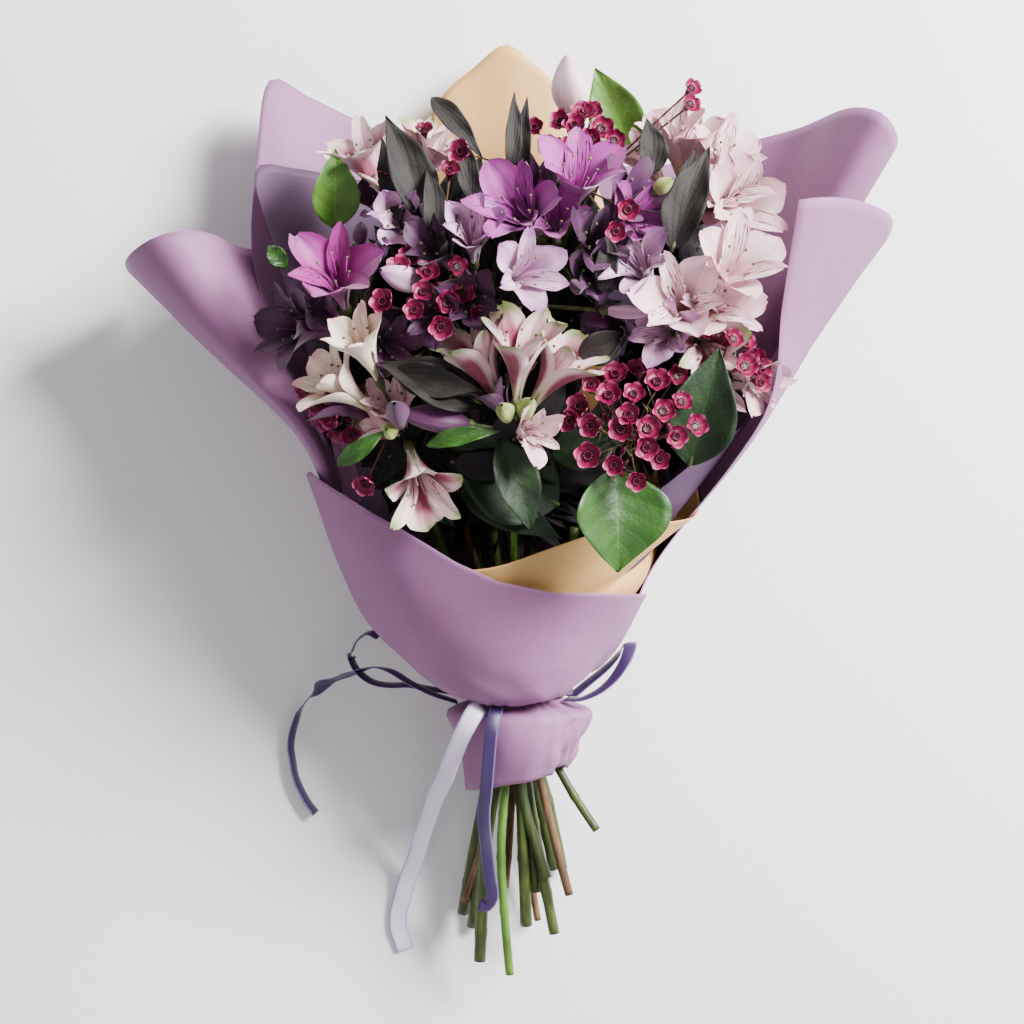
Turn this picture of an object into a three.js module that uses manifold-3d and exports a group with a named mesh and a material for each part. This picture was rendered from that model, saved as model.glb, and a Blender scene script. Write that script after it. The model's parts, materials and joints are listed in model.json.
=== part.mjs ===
// A hand-tied bouquet of alstroemeria, waxflower and salal in lilac and kraft paper,
// lying on its back: +Y runs from the cut stems to the flowers, +Z up from the table. Millimetres.
import * as THREE from 'three';
import { mergeVertices } from 'three/addons/utils/BufferGeometryUtils.js';
import Module from 'manifold-3d';

const wasm = await Module();
wasm.setup();

// Driving dimensions.
const PAPER_THICKNESS = 0.6;
const SHEET_STEP = 2.2; // from the middle of one wrapped sheet to the middle of the next
const RIBBON_THICKNESS = 0.6;
const LILAC_RIBBON_WIDTH = 10;
const VIOLET_RIBBON_WIDTH = 7;
const LEAF_THICKNESS = 0.8;
const LEAF_ROWS = 7;
const LEAF_FOLD = 0.22; // rise of a leaf's edges over its midrib, as a share of its half width
const CLEARANCE = 0.5; // how far a piece is grown before its neighbours are cut back from it
const TIE_Y = -98;
const TIE_CENTRE = new THREE.Vector3(2, TIE_Y, 38);
const TIE_RADIUS = 25.4; // of the outermost sheet where the ribbon holds it
const STEM_SPACING = 6.6; // between neighbouring stems in the tie
const KNOB_RADIUS = 3.6; // of the knob on a stem's end that the flower stalks grow from
const STALK_RADIUS = 1.2;
const TEPALS = 6;
const BELL_DEPTH = 34;
const BELL_RADIUS = 18;
const GOLDEN_ANGLE = Math.PI * (3 - Math.sqrt(5));

const place = (x, y, z) => new THREE.Vector3(x, y, z);
const turn = (degrees) => THREE.MathUtils.degToRad(degrees);
const mix = THREE.MathUtils.lerp;

const FINISHES = {
  lilacPaper: { color: 0xb896b6, roughness: 0.6 },
  kraftPaper: { color: 0xd9bb8c, roughness: 0.8 },
  lilacRibbon: { color: 0xcfc0e6, roughness: 0.4 },
  violetRibbon: { color: 0x4b3a82, roughness: 0.4 },
  stem: { color: 0x4d5c27, roughness: 0.6 },
  bark: { color: 0x6b4a2c, roughness: 0.8 },
  leaf: { color: 0x2b5a22, roughness: 0.4 },
  waxflower: { color: 0xb0245a, roughness: 0.5 },
  blush: { color: 0xe8c8cc, roughness: 0.5 },
  cream: { color: 0xead2c0, roughness: 0.5 },
  magenta: { color: 0x9a2f80, roughness: 0.5 },
  violet: { color: 0xa050a8, roughness: 0.5 },
  lilac: { color: 0xc6b2dc, roughness: 0.5 },
};

const bouquet = new THREE.Group();
const kept = []; // pieces already in the bouquet, grown by the clearance

// ---- Solids -------------------------------------------------------------------------------

function weld(geometry) {
  const bare = geometry.clone();
  bare.deleteAttribute('normal');
  bare.deleteAttribute('uv');
  return mergeVertices(bare, 1e-4);
}

function toSolid(geometry) {
  const { attributes, index } = weld(geometry);
  return new wasm.Manifold(new wasm.Mesh({
    numProp: 3,
    vertProperties: new Float32Array(attributes.position.array),
    triVerts: new Uint32Array(index.array),
  }));
}

function toGeometry(solid) {
  const { vertProperties, triVerts } = solid.getMesh();
  const geometry = new THREE.BufferGeometry();
  geometry.setAttribute('position', new THREE.BufferAttribute(vertProperties, 3));
  geometry.setIndex(new THREE.BufferAttribute(triVerts, 1));
  return geometry;
}

function corner(geometry, slot) {
  return place(0, 0, 0).fromBufferAttribute(geometry.attributes.position, geometry.index.getX(slot));
}

// The body with every vertex pushed outwards, so that a piece cut by it keeps clear of it.
function grow(geometry, distance) {
  const body = weld(geometry);
  const pushes = Array.from({ length: body.attributes.position.count }, () => place(0, 0, 0));
  for (let i = 0; i < body.index.count; i += 3) {
    const [a, b, c] = [0, 1, 2].map((k) => corner(body, i + k));
    const normal = b.sub(a).cross(c.sub(a)).normalize();
    [0, 1, 2].forEach((k) => pushes[body.index.getX(i + k)].add(normal));
  }
  pushes.forEach((push, i) => {
    const moved = place(0, 0, 0).fromBufferAttribute(body.attributes.position, i);
    moved.addScaledVector(push.normalize(), distance * Math.SQRT2);
    body.attributes.position.setXYZ(i, moved.x, moved.y, moved.z);
  });
  return body;
}

function largest(solid) {
  const bodies = solid.decompose();
  return bodies.reduce((best, body) => (body.volume() > best.volume() ? body : best));
}

// Adds a piece, cut back from the pieces that came before it.
function add(name, geometry, finish) {
  let solid = toSolid(geometry);
  const box = new THREE.Box3().setFromBufferAttribute(geometry.attributes.position);
  for (const neighbour of kept) {
    if (box.intersectsBox(neighbour.box)) {
      solid = solid.subtract(neighbour.solid);
    }
  }
  solid = largest(solid);
  const finished = toGeometry(solid);
  const grown = grow(finished, CLEARANCE);
  kept.push({
    solid: toSolid(grown).add(solid),
    box: new THREE.Box3().setFromBufferAttribute(grown.attributes.position),
  });
  const mesh = new THREE.Mesh(finished, new THREE.MeshStandardMaterial({ metalness: 0, ...finish }));
  mesh.name = name;
  bouquet.add(mesh);
}

function facingOut(geometry) {
  let volume = 0;
  for (let i = 0; i < geometry.index.count; i += 3) {
    const [a, b, c] = [0, 1, 2].map((k) => corner(geometry, i + k));
    volume += a.dot(b.cross(c));
  }
  if (volume < 0) {
    geometry.index.array.reverse();
  }
  return geometry;
}

// A thin closed sheet from rows of points along its middle surface.
function sheet(rows, thickness) {
  const down = rows.length;
  const across = rows[0].length;
  const positions = [];
  const faces = [];
  const at = (side, i, j) => side * down * across + i * across + j;
  const quad = (a, b, c, d) => faces.push(a, b, c, a, c, d);
  for (const side of [0.5, -0.5]) {
    rows.forEach((row, i) => row.forEach((point, j) => {
      const along = rows[Math.min(i + 1, down - 1)][j].clone().sub(rows[Math.max(i - 1, 0)][j]);
      const over = row[Math.min(j + 1, across - 1)].clone().sub(row[Math.max(j - 1, 0)]);
      const normal = along.cross(over).normalize();
      positions.push(...point.clone().addScaledVector(normal, side * thickness).toArray());
    }));
  }
  for (let i = 0; i < down - 1; i += 1) {
    for (let j = 0; j < across - 1; j += 1) {
      quad(at(0, i, j), at(0, i + 1, j), at(0, i + 1, j + 1), at(0, i, j + 1));
      quad(at(1, i, j), at(1, i, j + 1), at(1, i + 1, j + 1), at(1, i + 1, j));
    }
    quad(at(0, i, 0), at(1, i, 0), at(1, i + 1, 0), at(0, i + 1, 0));
    quad(at(0, i + 1, across - 1), at(1, i + 1, across - 1), at(1, i, across - 1), at(0, i, across - 1));
  }
  for (let j = 0; j < across - 1; j += 1) {
    quad(at(0, 0, j + 1), at(1, 0, j + 1), at(1, 0, j), at(0, 0, j));
    quad(at(0, down - 1, j), at(1, down - 1, j), at(1, down - 1, j + 1), at(0, down - 1, j + 1));
  }
  const geometry = new THREE.BufferGeometry();
  geometry.setAttribute('position', new THREE.Float32BufferAttribute(positions, 3));
  geometry.setIndex(faces);
  return facingOut(geometry);
}

function tube(points, radius, sides, steps) {
  const section = new THREE.Shape();
  for (let i = 0; i < sides; i += 1) {
    const angle = (2 * Math.PI * i) / sides;
    const [x, y] = [radius * Math.cos(angle), radius * Math.sin(angle)];
    if (i === 0) {
      section.moveTo(x, y);
    } else {
      section.lineTo(x, y);
    }
  }
  section.closePath();
  const extrudePath = new THREE.CatmullRomCurve3(points, false, 'centripetal');
  return new THREE.ExtrudeGeometry(section, { steps, bevelEnabled: false, extrudePath });
}

// A turned solid standing on foot and pointing along axis.
function turned(profile, segments, foot, axis) {
  const outline = profile.map(([radius, height]) => new THREE.Vector2(radius, height));
  const geometry = new THREE.LatheGeometry(outline, segments);
  const upright = new THREE.Quaternion().setFromUnitVectors(place(0, 1, 0), axis);
  geometry.applyQuaternion(upright);
  return geometry.translate(...foot.toArray());
}

// ---- Paper --------------------------------------------------------------------------------

// Outline of the outermost sheet, from the skirt's hem to the mouth.
const CONE = [
  { y: -152, left: -26, right: 30, low: 2, high: 72 },
  { y: -137, left: -27, right: 37, low: 0, high: 79 },
  { y: -121, left: -31, right: 41, low: -1, high: 82 },
  { y: -109, left: -36, right: 43, low: 1, high: 80 },
  ...[-102, -94].map((y) => ({
    y,
    left: TIE_CENTRE.x - TIE_RADIUS,
    right: TIE_CENTRE.x + TIE_RADIUS,
    low: TIE_CENTRE.z - TIE_RADIUS,
    high: TIE_CENTRE.z + TIE_RADIUS,
  })),
  { y: -86, left: -50, right: 46, low: 1, high: 86 },
  { y: -77, left: -64, right: 55, low: -2, high: 97 },
  { y: -60, left: -78, right: 65, low: -5, high: 108 },
  { y: -42, left: -89, right: 74, low: -6, high: 118 },
  { y: 0, left: -104, right: 95, low: -6, high: 130 },
  { y: 26, left: -112, right: 114, low: -6, high: 136 },
  { y: 48, left: -121, right: 131, low: -6, high: 138 },
];

// A point on the wrapped cone: angle 0 is the front, -90 the left, 180 the back, in degrees.
function onCone(y, angle, inset) {
  const next = Math.max(1, CONE.findIndex((ring) => ring.y >= y));
  const [a, b] = [CONE[next - 1], CONE[next]];
  const share = (y - a.y) / (b.y - a.y);
  const ring = (key) => mix(a[key], b[key], share);
  const middleX = (ring('left') + ring('right')) / 2;
  const middleZ = (ring('low') + ring('high')) / 2;
  const reachX = (ring('right') - ring('left')) / 2 - inset;
  const reachZ = (ring('high') - ring('low')) / 2 - inset;
  return place(
    middleX + reachX * Math.sin(turn(angle)),
    y,
    middleZ + reachZ * Math.cos(turn(angle)),
  );
}

function resample(points, count) {
  const curve = new THREE.CatmullRomCurve3(points.map((p) => place(...p)), false, 'centripetal');
  return curve.getSpacedPoints(count - 1);
}

// Reads a list of [where, value] pairs as a curve through them.
function follow(pairs, where) {
  const next = Math.max(1, pairs.findIndex(([key]) => key >= where));
  const [[a, low], [b, high]] = [pairs[next - 1], pairs[next]];
  return mix(low, high, THREE.MathUtils.clamp((where - a) / (b - a), 0, 1));
}

const SHEET_COLUMNS = 15;
const LEVELS = CONE.map((ring) => ring.y);
const FLARE_START = -84; // above the tie, where the levels start to follow the sheet's own waist
const FLARE_ROWS = 3;

// One wrapped sheet: rows on the cone up to its waist, then straight out to its free rim.
// It lies flat where it would pass through the table or the sheet under it, and its left side
// is tucked in by the given amount at the waist.
function wrapped({ from, to, first, waist, inset, tuck = 0, rim, crest }) {
  const columns = Array.from({ length: SHEET_COLUMNS }, (_, i) => i / (SHEET_COLUMNS - 1));
  const angles = columns.map((share) => mix(from, to, share));
  const tops = columns.map((share) => follow(waist, share));
  const tucks = columns.map((share) => tuck * Math.max(0, 1 - 3 * share));
  const levels = LEVELS.filter((y) => y >= first && y < FLARE_START);
  const rows = levels.map((y) => angles.map((angle) => onCone(y, angle, inset)));
  const base = levels[levels.length - 1];
  for (let i = 1; i <= FLARE_ROWS; i += 1) {
    const share = (i / FLARE_ROWS) ** 1.4;
    rows.push(angles.map((angle, k) => (
      onCone(mix(base, tops[k], share), angle, inset + share * tucks[k])
    )));
  }
  if (crest) {
    rows.push(resample(crest, SHEET_COLUMNS));
  }
  if (rim) {
    const last = rows[rows.length - 1];
    const edge = resample(rim, SHEET_COLUMNS);
    rows.push(last.map((point, k) => point.clone().lerp(edge[k], 0.5)));
    rows.push(edge);
  }
  const floor = PAPER_THICKNESS / 2 + Math.max(0, inset - SHEET_STEP);
  rows.flat().forEach((point) => point.setZ(Math.max(point.z, floor)));
  return sheet(rows, PAPER_THICKNESS);
}

function paper() {
  const outer = wrapped({
    from: -80, to: -280, first: -152, inset: SHEET_STEP,
    waist: [[0, -24], [1, -24]],
    crest: [
      [-103, 31, 54], [-109, 33, 76], [-110, 35, 90], [-107, 36, 99], [-103, 36, 97],
      [-98, 34, 80], [-93, 30, 54], [-76, 19, 18], [-50, 12, 0], [0, 9, -5], [49, 12, -3], [88, 23, 8],
      [115, 34, 28], [130, 41, 62], [134, 47, 92], [133, 50, 112], [131, 51, 122],
    ],
    rim: [
      [-201, 125, 22], [-209, 130, 48], [-206, 136, 78], [-191, 144, 98], [-174, 149, 96],
      [-159, 149, 72], [-144, 144, 42], [-118, 151, 14], [-80, 170, 0], [0, 186, -3],
      [72, 180, -2], [139, 163, 1], [178, 146, 7], [202, 146, 26], [206, 155, 62],
      [197, 160, 92], [180, 163, 114], [163, 163, 128], [148, 161, 134],
    ],
  });
  const front = wrapped({
    from: -105, to: 105, first: -152, inset: 0,
    waist: [[0, 18], [0.14, 22], [0.24, 9], [0.34, -8], [0.43, -26], [0.5, -36], [0.6, -42], [1, -45]],
  });
  const back = wrapped({
    from: -110, to: -258, first: -102, inset: 2 * SHEET_STEP, tuck: 5,
    waist: [[0, 10], [0.3, 2], [0.7, 2], [1, 20]],
    rim: [
      [-130, 98, 56], [-142, 142, 48], [-140, 192, 40], [-134, 237, 36], [-112, 230, 22],
      [-89, 220, 12], [-46, 202, 5], [0, 197, 3.5], [49, 194, 4], [99, 196, 8], [129, 205, 20],
      [158, 211, 38], [181, 217, 72], [197, 211, 92], [206, 199, 80], [204, 190, 56],
    ],
  });
  const kraft = wrapped({
    from: -165, to: -375, first: -102, inset: 3 * SHEET_STEP,
    waist: [[0, 2], [0.3, 2], [0.5, -20], [0.7, -46], [1, -56]],
    rim: [
      [-60, 190, 8], [-40, 229, 20], [-23, 245, 22], [-4, 259, 25], [10, 250, 23], [23, 238, 20],
      [40, 205, 12], [58, 150, 5], [76, 95, 5], [92, 45, 14], [101, 14, 44], [100, 0, 76],
      [92, -4, 97], [74, -6, 108], [52, -9, 115], [25, -17, 120], [-6, -28, 121], [-30, -31, 119],
    ],
  });
  const inner = wrapped({
    from: -86, to: -320, first: -102, inset: 4 * SHEET_STEP, tuck: 6,
    waist: [[0, 0], [0.3, 2], [0.6, 0], [0.8, -20], [1, -40]],
    rim: [
      [-102, 62, 76], [-112, 94, 70], [-128, 141, 55], [-135, 183, 42], [-117, 184, 26],
      [-90, 183, 16], [-46, 178, 11], [0, 172, 11], [46, 158, 14], [84, 126, 28], [112, 92, 58],
      [125, 60, 94], [124, 48, 107], [102, 32, 110], [80, 14, 110], [58, 0, 110],
    ],
  });
  add('paper_outer', outer, FINISHES.lilacPaper);
  add('paper_front', front, FINISHES.lilacPaper);
  add('paper_back', back, FINISHES.lilacPaper);
  add('paper_kraft', kraft, FINISHES.kraftPaper);
  add('paper_inner', inner, FINISHES.lilacPaper);
}

// ---- Ribbon -------------------------------------------------------------------------------

// A flat ribbon along hand-laid points; face gives the way its flat side looks at each end.
function ribbon(points, width, faces, steps) {
  const curve = new THREE.CatmullRomCurve3(points.map((p) => place(...p)), false, 'centripetal');
  const [start, end] = faces.map((face) => place(...face).normalize());
  const rows = Array.from({ length: steps + 1 }, (_, i) => {
    const share = i / steps;
    const point = curve.getPointAt(share);
    const face = start.clone().lerp(end, share);
    const side = curve.getTangentAt(share).cross(face).normalize();
    return [-0.5, 0.5].map((half) => point.clone().addScaledVector(side, half * width));
  });
  return sheet(rows, RIBBON_THICKNESS);
}

const RIBBON_ROUTES = {
  ribbon_tail_lilac: {
    width: LILAC_RIBBON_WIDTH, finish: FINISHES.lilacRibbon, faces: [[0, 0, 1], [0.2, 0, 1]], steps: 26,
    points: [
      [-17, -104, 76], [-20, -107, 81], [-24, -114, 81], [-28, -122, 77], [-32, -132, 70],
      [-36, -143, 61], [-41, -154, 50], [-45, -166, 38], [-50, -180, 25], [-54, -194, 14],
      [-59, -207, 6.5], [-62, -218, 3], [-64, -226, 1.8], [-64, -234, 1.4], [-62, -240, 1.3],
      [-60, -246, 1.3],
    ],
  },
  ribbon_tail_violet: {
    width: VIOLET_RIBBON_WIDTH, finish: FINISHES.violetRibbon, faces: [[0, 0, 1], [0.3, 0, 1]], steps: 26,
    points: [
      [-8, -104, 78], [-9, -108, 83], [-11, -116, 86], [-12, -126, 86], [-13, -138, 84],
      [-14, -150, 80], [-15, -160, 75], [-15, -170, 69], [-14, -180, 62], [-13, -190, 56],
      [-12, -200, 51], [-11, -206, 48], [-11, -211, 47], [-14, -215, 46], [-18, -214, 46],
    ],
  },
  ribbon_tail_curled: {
    width: VIOLET_RIBBON_WIDTH, finish: FINISHES.violetRibbon, faces: [[0.2, 1, 0.3], [1, 0, 0.5]], steps: 30,
    points: [
      [-30, -103, 56], [-42, -99, 60], [-54, -93, 60], [-66, -86, 56], [-76, -85, 48],
      [-86, -88, 39], [-94, -91, 31], [-102, -94, 24], [-109, -99, 17], [-115, -105, 12],
      [-119, -111, 8], [-121, -117, 6], [-123, -124, 4.6], [-124, -132, 4], [-123, -140, 3.8],
      [-122, -147, 3.7], [-120, -153, 3.7], [-117, -159, 3.7], [-114, -164, 3.7], [-110, -169, 3.7],
    ],
  },
  bow_loop_left: {
    width: VIOLET_RIBBON_WIDTH, finish: FINISHES.lilacRibbon, faces: [[0, 1, 0.4], [0, 1, 0.4]], steps: 26,
    points: [
      [-27, -99, 34], [-34, -99, 36], [-44, -97, 39], [-56, -95, 41], [-66, -95, 40],
      [-77, -93, 39], [-85, -87, 39], [-88, -79, 41], [-85, -71, 45], [-78, -66, 49],
      [-72, -68, 52],
    ],
  },
  bow_loop_right: {
    width: VIOLET_RIBBON_WIDTH, finish: FINISHES.violetRibbon, faces: [[0, 1, 0.4], [0, 1, 0.4]], steps: 26,
    points: [
      [30, -102, 46], [37, -102, 52], [46, -98, 54], [55, -91, 53], [61, -83, 50], [64, -76, 45],
      [65, -72, 38], [62, -75, 31], [55, -83, 28], [45, -92, 28], [35, -100, 30], [31, -102, 32],
    ],
  },
};

// The ribbon round the neck, with the knot in front that the bow and tails come out of.
function ribbonBand() {
  const [inside, outside, half] = [TIE_RADIUS + 0.9, TIE_RADIUS + 2.2, 2.6];
  const profile = [[inside, -half], [outside, -half], [outside, half], [inside, half], [inside, -half]];
  const band = toSolid(turned(profile, 20, TIE_CENTRE, place(0, 1, 0)));
  const knot = new THREE.SphereGeometry(1, 8, 5).scale(9, 4.2, 5).translate(-12, TIE_Y - 1, 67);
  return toGeometry(band.add(toSolid(knot)));
}

function ribbons() {
  add('ribbon_band', ribbonBand(), FINISHES.violetRibbon);
  for (const [name, route] of Object.entries(RIBBON_ROUTES)) {
    add(name, ribbon(route.points, route.width, route.faces, route.steps), route.finish);
  }
}

// ---- Stems --------------------------------------------------------------------------------

// Each stem: cut end, a point between end and tie, its place in the tie in steps across and up,
// a point between tie and head, and its head, where stalks or leaves branch off.
const STEMS = {
  blush: { radius: 2.4, slot: [0, 2], end: [-1, -257, 37], low: [-6, -180, 46], mid: [1, -40, 92], head: [1, 43, 138] },
  cream: { radius: 3.3, slot: [-1, 1], end: [-18, -251, 28], low: [-14, -180, 36], mid: [-30, -40, 80], head: [-56, 41, 112] },
  lilac: { radius: 3.3, slot: [0, 1], end: [8, -232, 24], low: [6, -180, 34], mid: [-9, -20, 72], head: [-19, 111, 100] },
  wax_front: { radius: 2.4, slot: [1, 1], end: [32, -212, 42], low: [20, -165, 44], mid: [30, -40, 74], head: [61, 29, 100] },
  magenta: { radius: 3.1, slot: [-1.5, 0], end: [-28, -227, 12], low: [-19, -175, 24], mid: [-42, -20, 56], head: [-85, 94, 85] },
  wax_left: { radius: 2.2, slot: [-0.5, 0], end: [-27, -219, 20], low: [-14, -175, 29], mid: [-22, -20, 62], head: [-44, 87, 100] },
  violet: { radius: 2.9, slot: [0.5, 0], end: [24, -236, 30], low: [14, -180, 34], mid: [13, -10, 60], head: [26, 132, 95] },
  pale: { radius: 2.3, slot: [1.5, 0], end: [48, -177, 38], low: [28, -145, 38], mid: [48, -20, 60], head: [95, 94, 85] },
  rose: { radius: 3.1, slot: [-1, -1], end: [-23, -236, 3.3], low: [-14, -180, 17], mid: [-26, 10, 44], head: [-57, 146, 70] },
  wax_top: { radius: 2.0, slot: [0, -1], end: [15, -232, 7], low: [7, -180, 18], mid: [14, 20, 46], head: [39, 174, 80] },
  shell: { radius: 2.9, slot: [1, -1], end: [29, -203, 6], low: [21, -165, 16], mid: [42, 10, 40], head: [96, 154, 65] },
  salal: { radius: 2.2, slot: [0, -2], end: [-4, -212, 8], low: [-1, -175, 14], mid: [-2, -50, 34], head: [-6, 17, 62] },
};
const WOODY = ['wax_front', 'wax_left', 'wax_top', 'salal'];
const ROW_RISE = STEM_SPACING * Math.sin(Math.PI / 3);

function inTie([across, up]) {
  return TIE_CENTRE.clone().add(place(across * STEM_SPACING, 0, up * ROW_RISE));
}

function stems() {
  for (const [name, { radius, slot, end, low, mid, head }] of Object.entries(STEMS)) {
    const points = [place(...end), place(...low), inTie(slot), place(...mid), place(...head)];
    const knob = new THREE.IcosahedronGeometry(KNOB_RADIUS, 0).translate(...head);
    const solid = toSolid(tube(points, radius, 8, 9)).add(toSolid(knob));
    add(`stem_${name}`, toGeometry(solid), WOODY.includes(name) ? FINISHES.bark : FINISHES.stem);
  }
}

// ---- Flowers ------------------------------------------------------------------------------

// A stalk and a six-lobed open bell, from a stem's head to the middle of the flower's mouth.
function floret(head, mouth, size) {
  const axis = mouth.clone().sub(head);
  const reach = axis.length() - KNOB_RADIUS - CLEARANCE;
  axis.normalize();
  const foot = head.clone().addScaledVector(axis, KNOB_RADIUS + CLEARANCE);
  const neck = reach - BELL_DEPTH * size;
  const up = (share) => neck + BELL_DEPTH * size * share;
  const out = (share) => BELL_RADIUS * size * share;
  const profile = [
    [0, 0], [STALK_RADIUS, 0], [STALK_RADIUS, up(0)], [out(0.17), up(0.1)], [out(0.62), up(0.62)],
    [out(1), up(1)], [out(0.93), up(1.02)], [out(0.5), up(0.67)], [0, up(0.4)],
  ];
  const outline = profile.map(([radius, height]) => new THREE.Vector2(radius, height));
  const bell = new THREE.LatheGeometry(outline, 2 * TEPALS);
  const spots = bell.attributes.position;
  for (let i = 0; i < spots.count; i += 1) {
    const open = Math.max(0, (spots.getY(i) - up(0.5)) / (up(1) - up(0.5)));
    const angle = Math.atan2(spots.getZ(i), spots.getX(i));
    const notch = 1 - 0.12 * open * (1 - Math.cos(TEPALS * angle));
    spots.setXYZ(i, spots.getX(i) * notch, spots.getY(i), spots.getZ(i) * notch);
  }
  bell.applyQuaternion(new THREE.Quaternion().setFromUnitVectors(place(0, 1, 0), axis));
  return bell.translate(...foot.toArray());
}

// Name, stem, finish, mouth and size.
const FLORETS = [
  ['blush_1', 'blush', 'blush', [-23, 88, 154], 1],
  ['blush_2', 'blush', 'blush', [5, 93, 170], 1],
  ['blush_3', 'blush', 'blush', [32, 82, 160], 1],
  ['cream_1', 'cream', 'cream', [-98, 72, 140], 1],
  ['cream_2', 'cream', 'cream', [-80, 92, 160], 0.9],
  ['cream_3', 'cream', 'blush', [-44, 6, 148], 1],
  ['magenta_1', 'magenta', 'magenta', [-92, 128, 148], 1.15],
  ['magenta_2', 'magenta', 'violet', [-120, 98, 118], 0.9],
  ['violet_1', 'violet', 'violet', [0, 158, 162], 1.1],
  ['violet_2', 'violet', 'violet', [36, 180, 152], 1.15],
  ['violet_3', 'violet', 'violet', [66, 166, 142], 0.9],
  ['lilac_1', 'lilac', 'lilac', [10, 122, 176], 0.9],
  ['lilac_2', 'lilac', 'lilac', [-22, 146, 158], 0.8],
  ['pale_1', 'pale', 'blush', [116, 130, 156], 1.05],
  ['pale_2', 'pale', 'blush', [84, 108, 168], 1],
  ['pale_3', 'pale', 'blush', [126, 66, 128], 1],
  ['pale_4', 'pale', 'lilac', [60, 130, 158], 0.85],
  ['shell_1', 'shell', 'blush', [122, 160, 130], 1],
  ['shell_2', 'shell', 'blush', [116, 192, 108], 1],
  ['shell_3', 'shell', 'blush', [82, 206, 104], 0.9],
  ['rose_1', 'rose', 'blush', [-82, 196, 100], 1],
];

// Name, stem, finish, where the middle of the closed bud is, half width and length.
const BUDS = [
  ['lilac', 'lilac', 'lilac', [-58, 120, 152], 7, 28],
  ['plum', 'cream', 'violet', [-58, 50, 150], 8, 36],
  ['white', 'wax_top', 'blush', [31, 226, 92], 8, 32],
];

function bud(head, middle, half, length) {
  const axis = middle.clone().sub(head);
  const reach = axis.length() - KNOB_RADIUS - CLEARANCE;
  axis.normalize();
  const foot = head.clone().addScaledVector(axis, KNOB_RADIUS + CLEARANCE);
  const up = (share) => reach + length * (share - 0.5);
  const profile = [
    [0, 0], [STALK_RADIUS, 0], [STALK_RADIUS, up(0)], [half * 0.5, up(0.12)], [half, up(0.5)],
    [half * 0.75, up(0.8)], [0, up(1)],
  ];
  return turned(profile, 8, foot, axis);
}

// Name, stem, middle of the blooms, radius of the spray and number of blooms.
const SPRAYS = [
  ['front', 'wax_front', [62, 50, 158], 34, 12],
  ['right', 'wax_front', [121, 86, 132], 20, 6],
  ['left', 'wax_left', [-41, 113, 160], 26, 7],
  ['corner', 'wax_left', [-100, 52, 112], 20, 5],
  ['top', 'wax_top', [39, 206, 116], 24, 7],
];
const WAX_BLOOM_RADIUS = 6;
const SPRAY_DOME = 0.35; // how far the outer blooms stand back, as a share of the spray's radius

// Blooms on thin stalks that fork from one point, spread over a dome by the golden angle.
function spray(head, middle, radius, count) {
  const axis = middle.clone().sub(head).normalize();
  const foot = head.clone().addScaledVector(axis, KNOB_RADIUS + CLEARANCE);
  const fork = middle.clone().addScaledVector(axis, -1.1 * radius);
  const side = place(0, 0, 1).cross(axis).normalize();
  const rise = axis.clone().cross(side);
  let solid = toSolid(tube([foot, foot.clone().lerp(fork, 0.5), fork], STALK_RADIUS, 4, 1));
  for (let i = 0; i < count; i += 1) {
    const out = radius * Math.sqrt((i + 0.5) / count);
    const angle = i * GOLDEN_ANGLE;
    const bloom = middle.clone()
      .addScaledVector(side, out * Math.cos(angle))
      .addScaledVector(rise, out * Math.sin(angle))
      .addScaledVector(axis, (-SPRAY_DOME * out * out) / radius);
    const way = bloom.clone().sub(fork);
    const reach = way.length();
    const profile = [[0, -1], [0.9, -1], [0.7, reach - 5], [WAX_BLOOM_RADIUS, reach], [0, reach - 2]];
    solid = solid.add(toSolid(turned(profile, 4, fork, way.normalize())));
  }
  return toGeometry(solid);
}

function flowers() {
  const headOf = (stem) => place(...STEMS[stem].head);
  for (const [name, stem, finish, mouth, size] of FLORETS) {
    add(`floret_${name}`, floret(headOf(stem), place(...mouth), size), FINISHES[finish]);
  }
  for (const [name, stem, finish, middle, half, length] of BUDS) {
    add(`bud_${name}`, bud(headOf(stem), place(...middle), half, length), FINISHES[finish]);
  }
  for (const [name, stem, middle, radius, count] of SPRAYS) {
    add(`wax_${name}`, spray(headOf(stem), place(...middle), radius, count), FINISHES.waxflower);
  }
}

// ---- Leaves -------------------------------------------------------------------------------

// A folded, arched leaf from its base to its tip, with its upper side facing the given way.
function leaf({ base, tip, width, face, arch, belly }) {
  const start = place(...base);
  const along = place(...tip).sub(start);
  const side = along.clone().cross(place(...face)).normalize();
  const up = side.clone().cross(along).normalize();
  const rows = Array.from({ length: LEAF_ROWS }, (_, i) => {
    const share = i / (LEAF_ROWS - 1);
    const half = Math.max(0.4, (width / 2) * Math.sin(Math.PI * share ** belly));
    const rise = arch * Math.sin(Math.PI * share);
    return [-1, 0, 1].map((out) => start.clone()
      .addScaledVector(along, share)
      .addScaledVector(side, out * half)
      .addScaledVector(up, rise + LEAF_FOLD * Math.abs(out) * half));
  });
  return sheet(rows, LEAF_THICKNESS);
}

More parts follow.
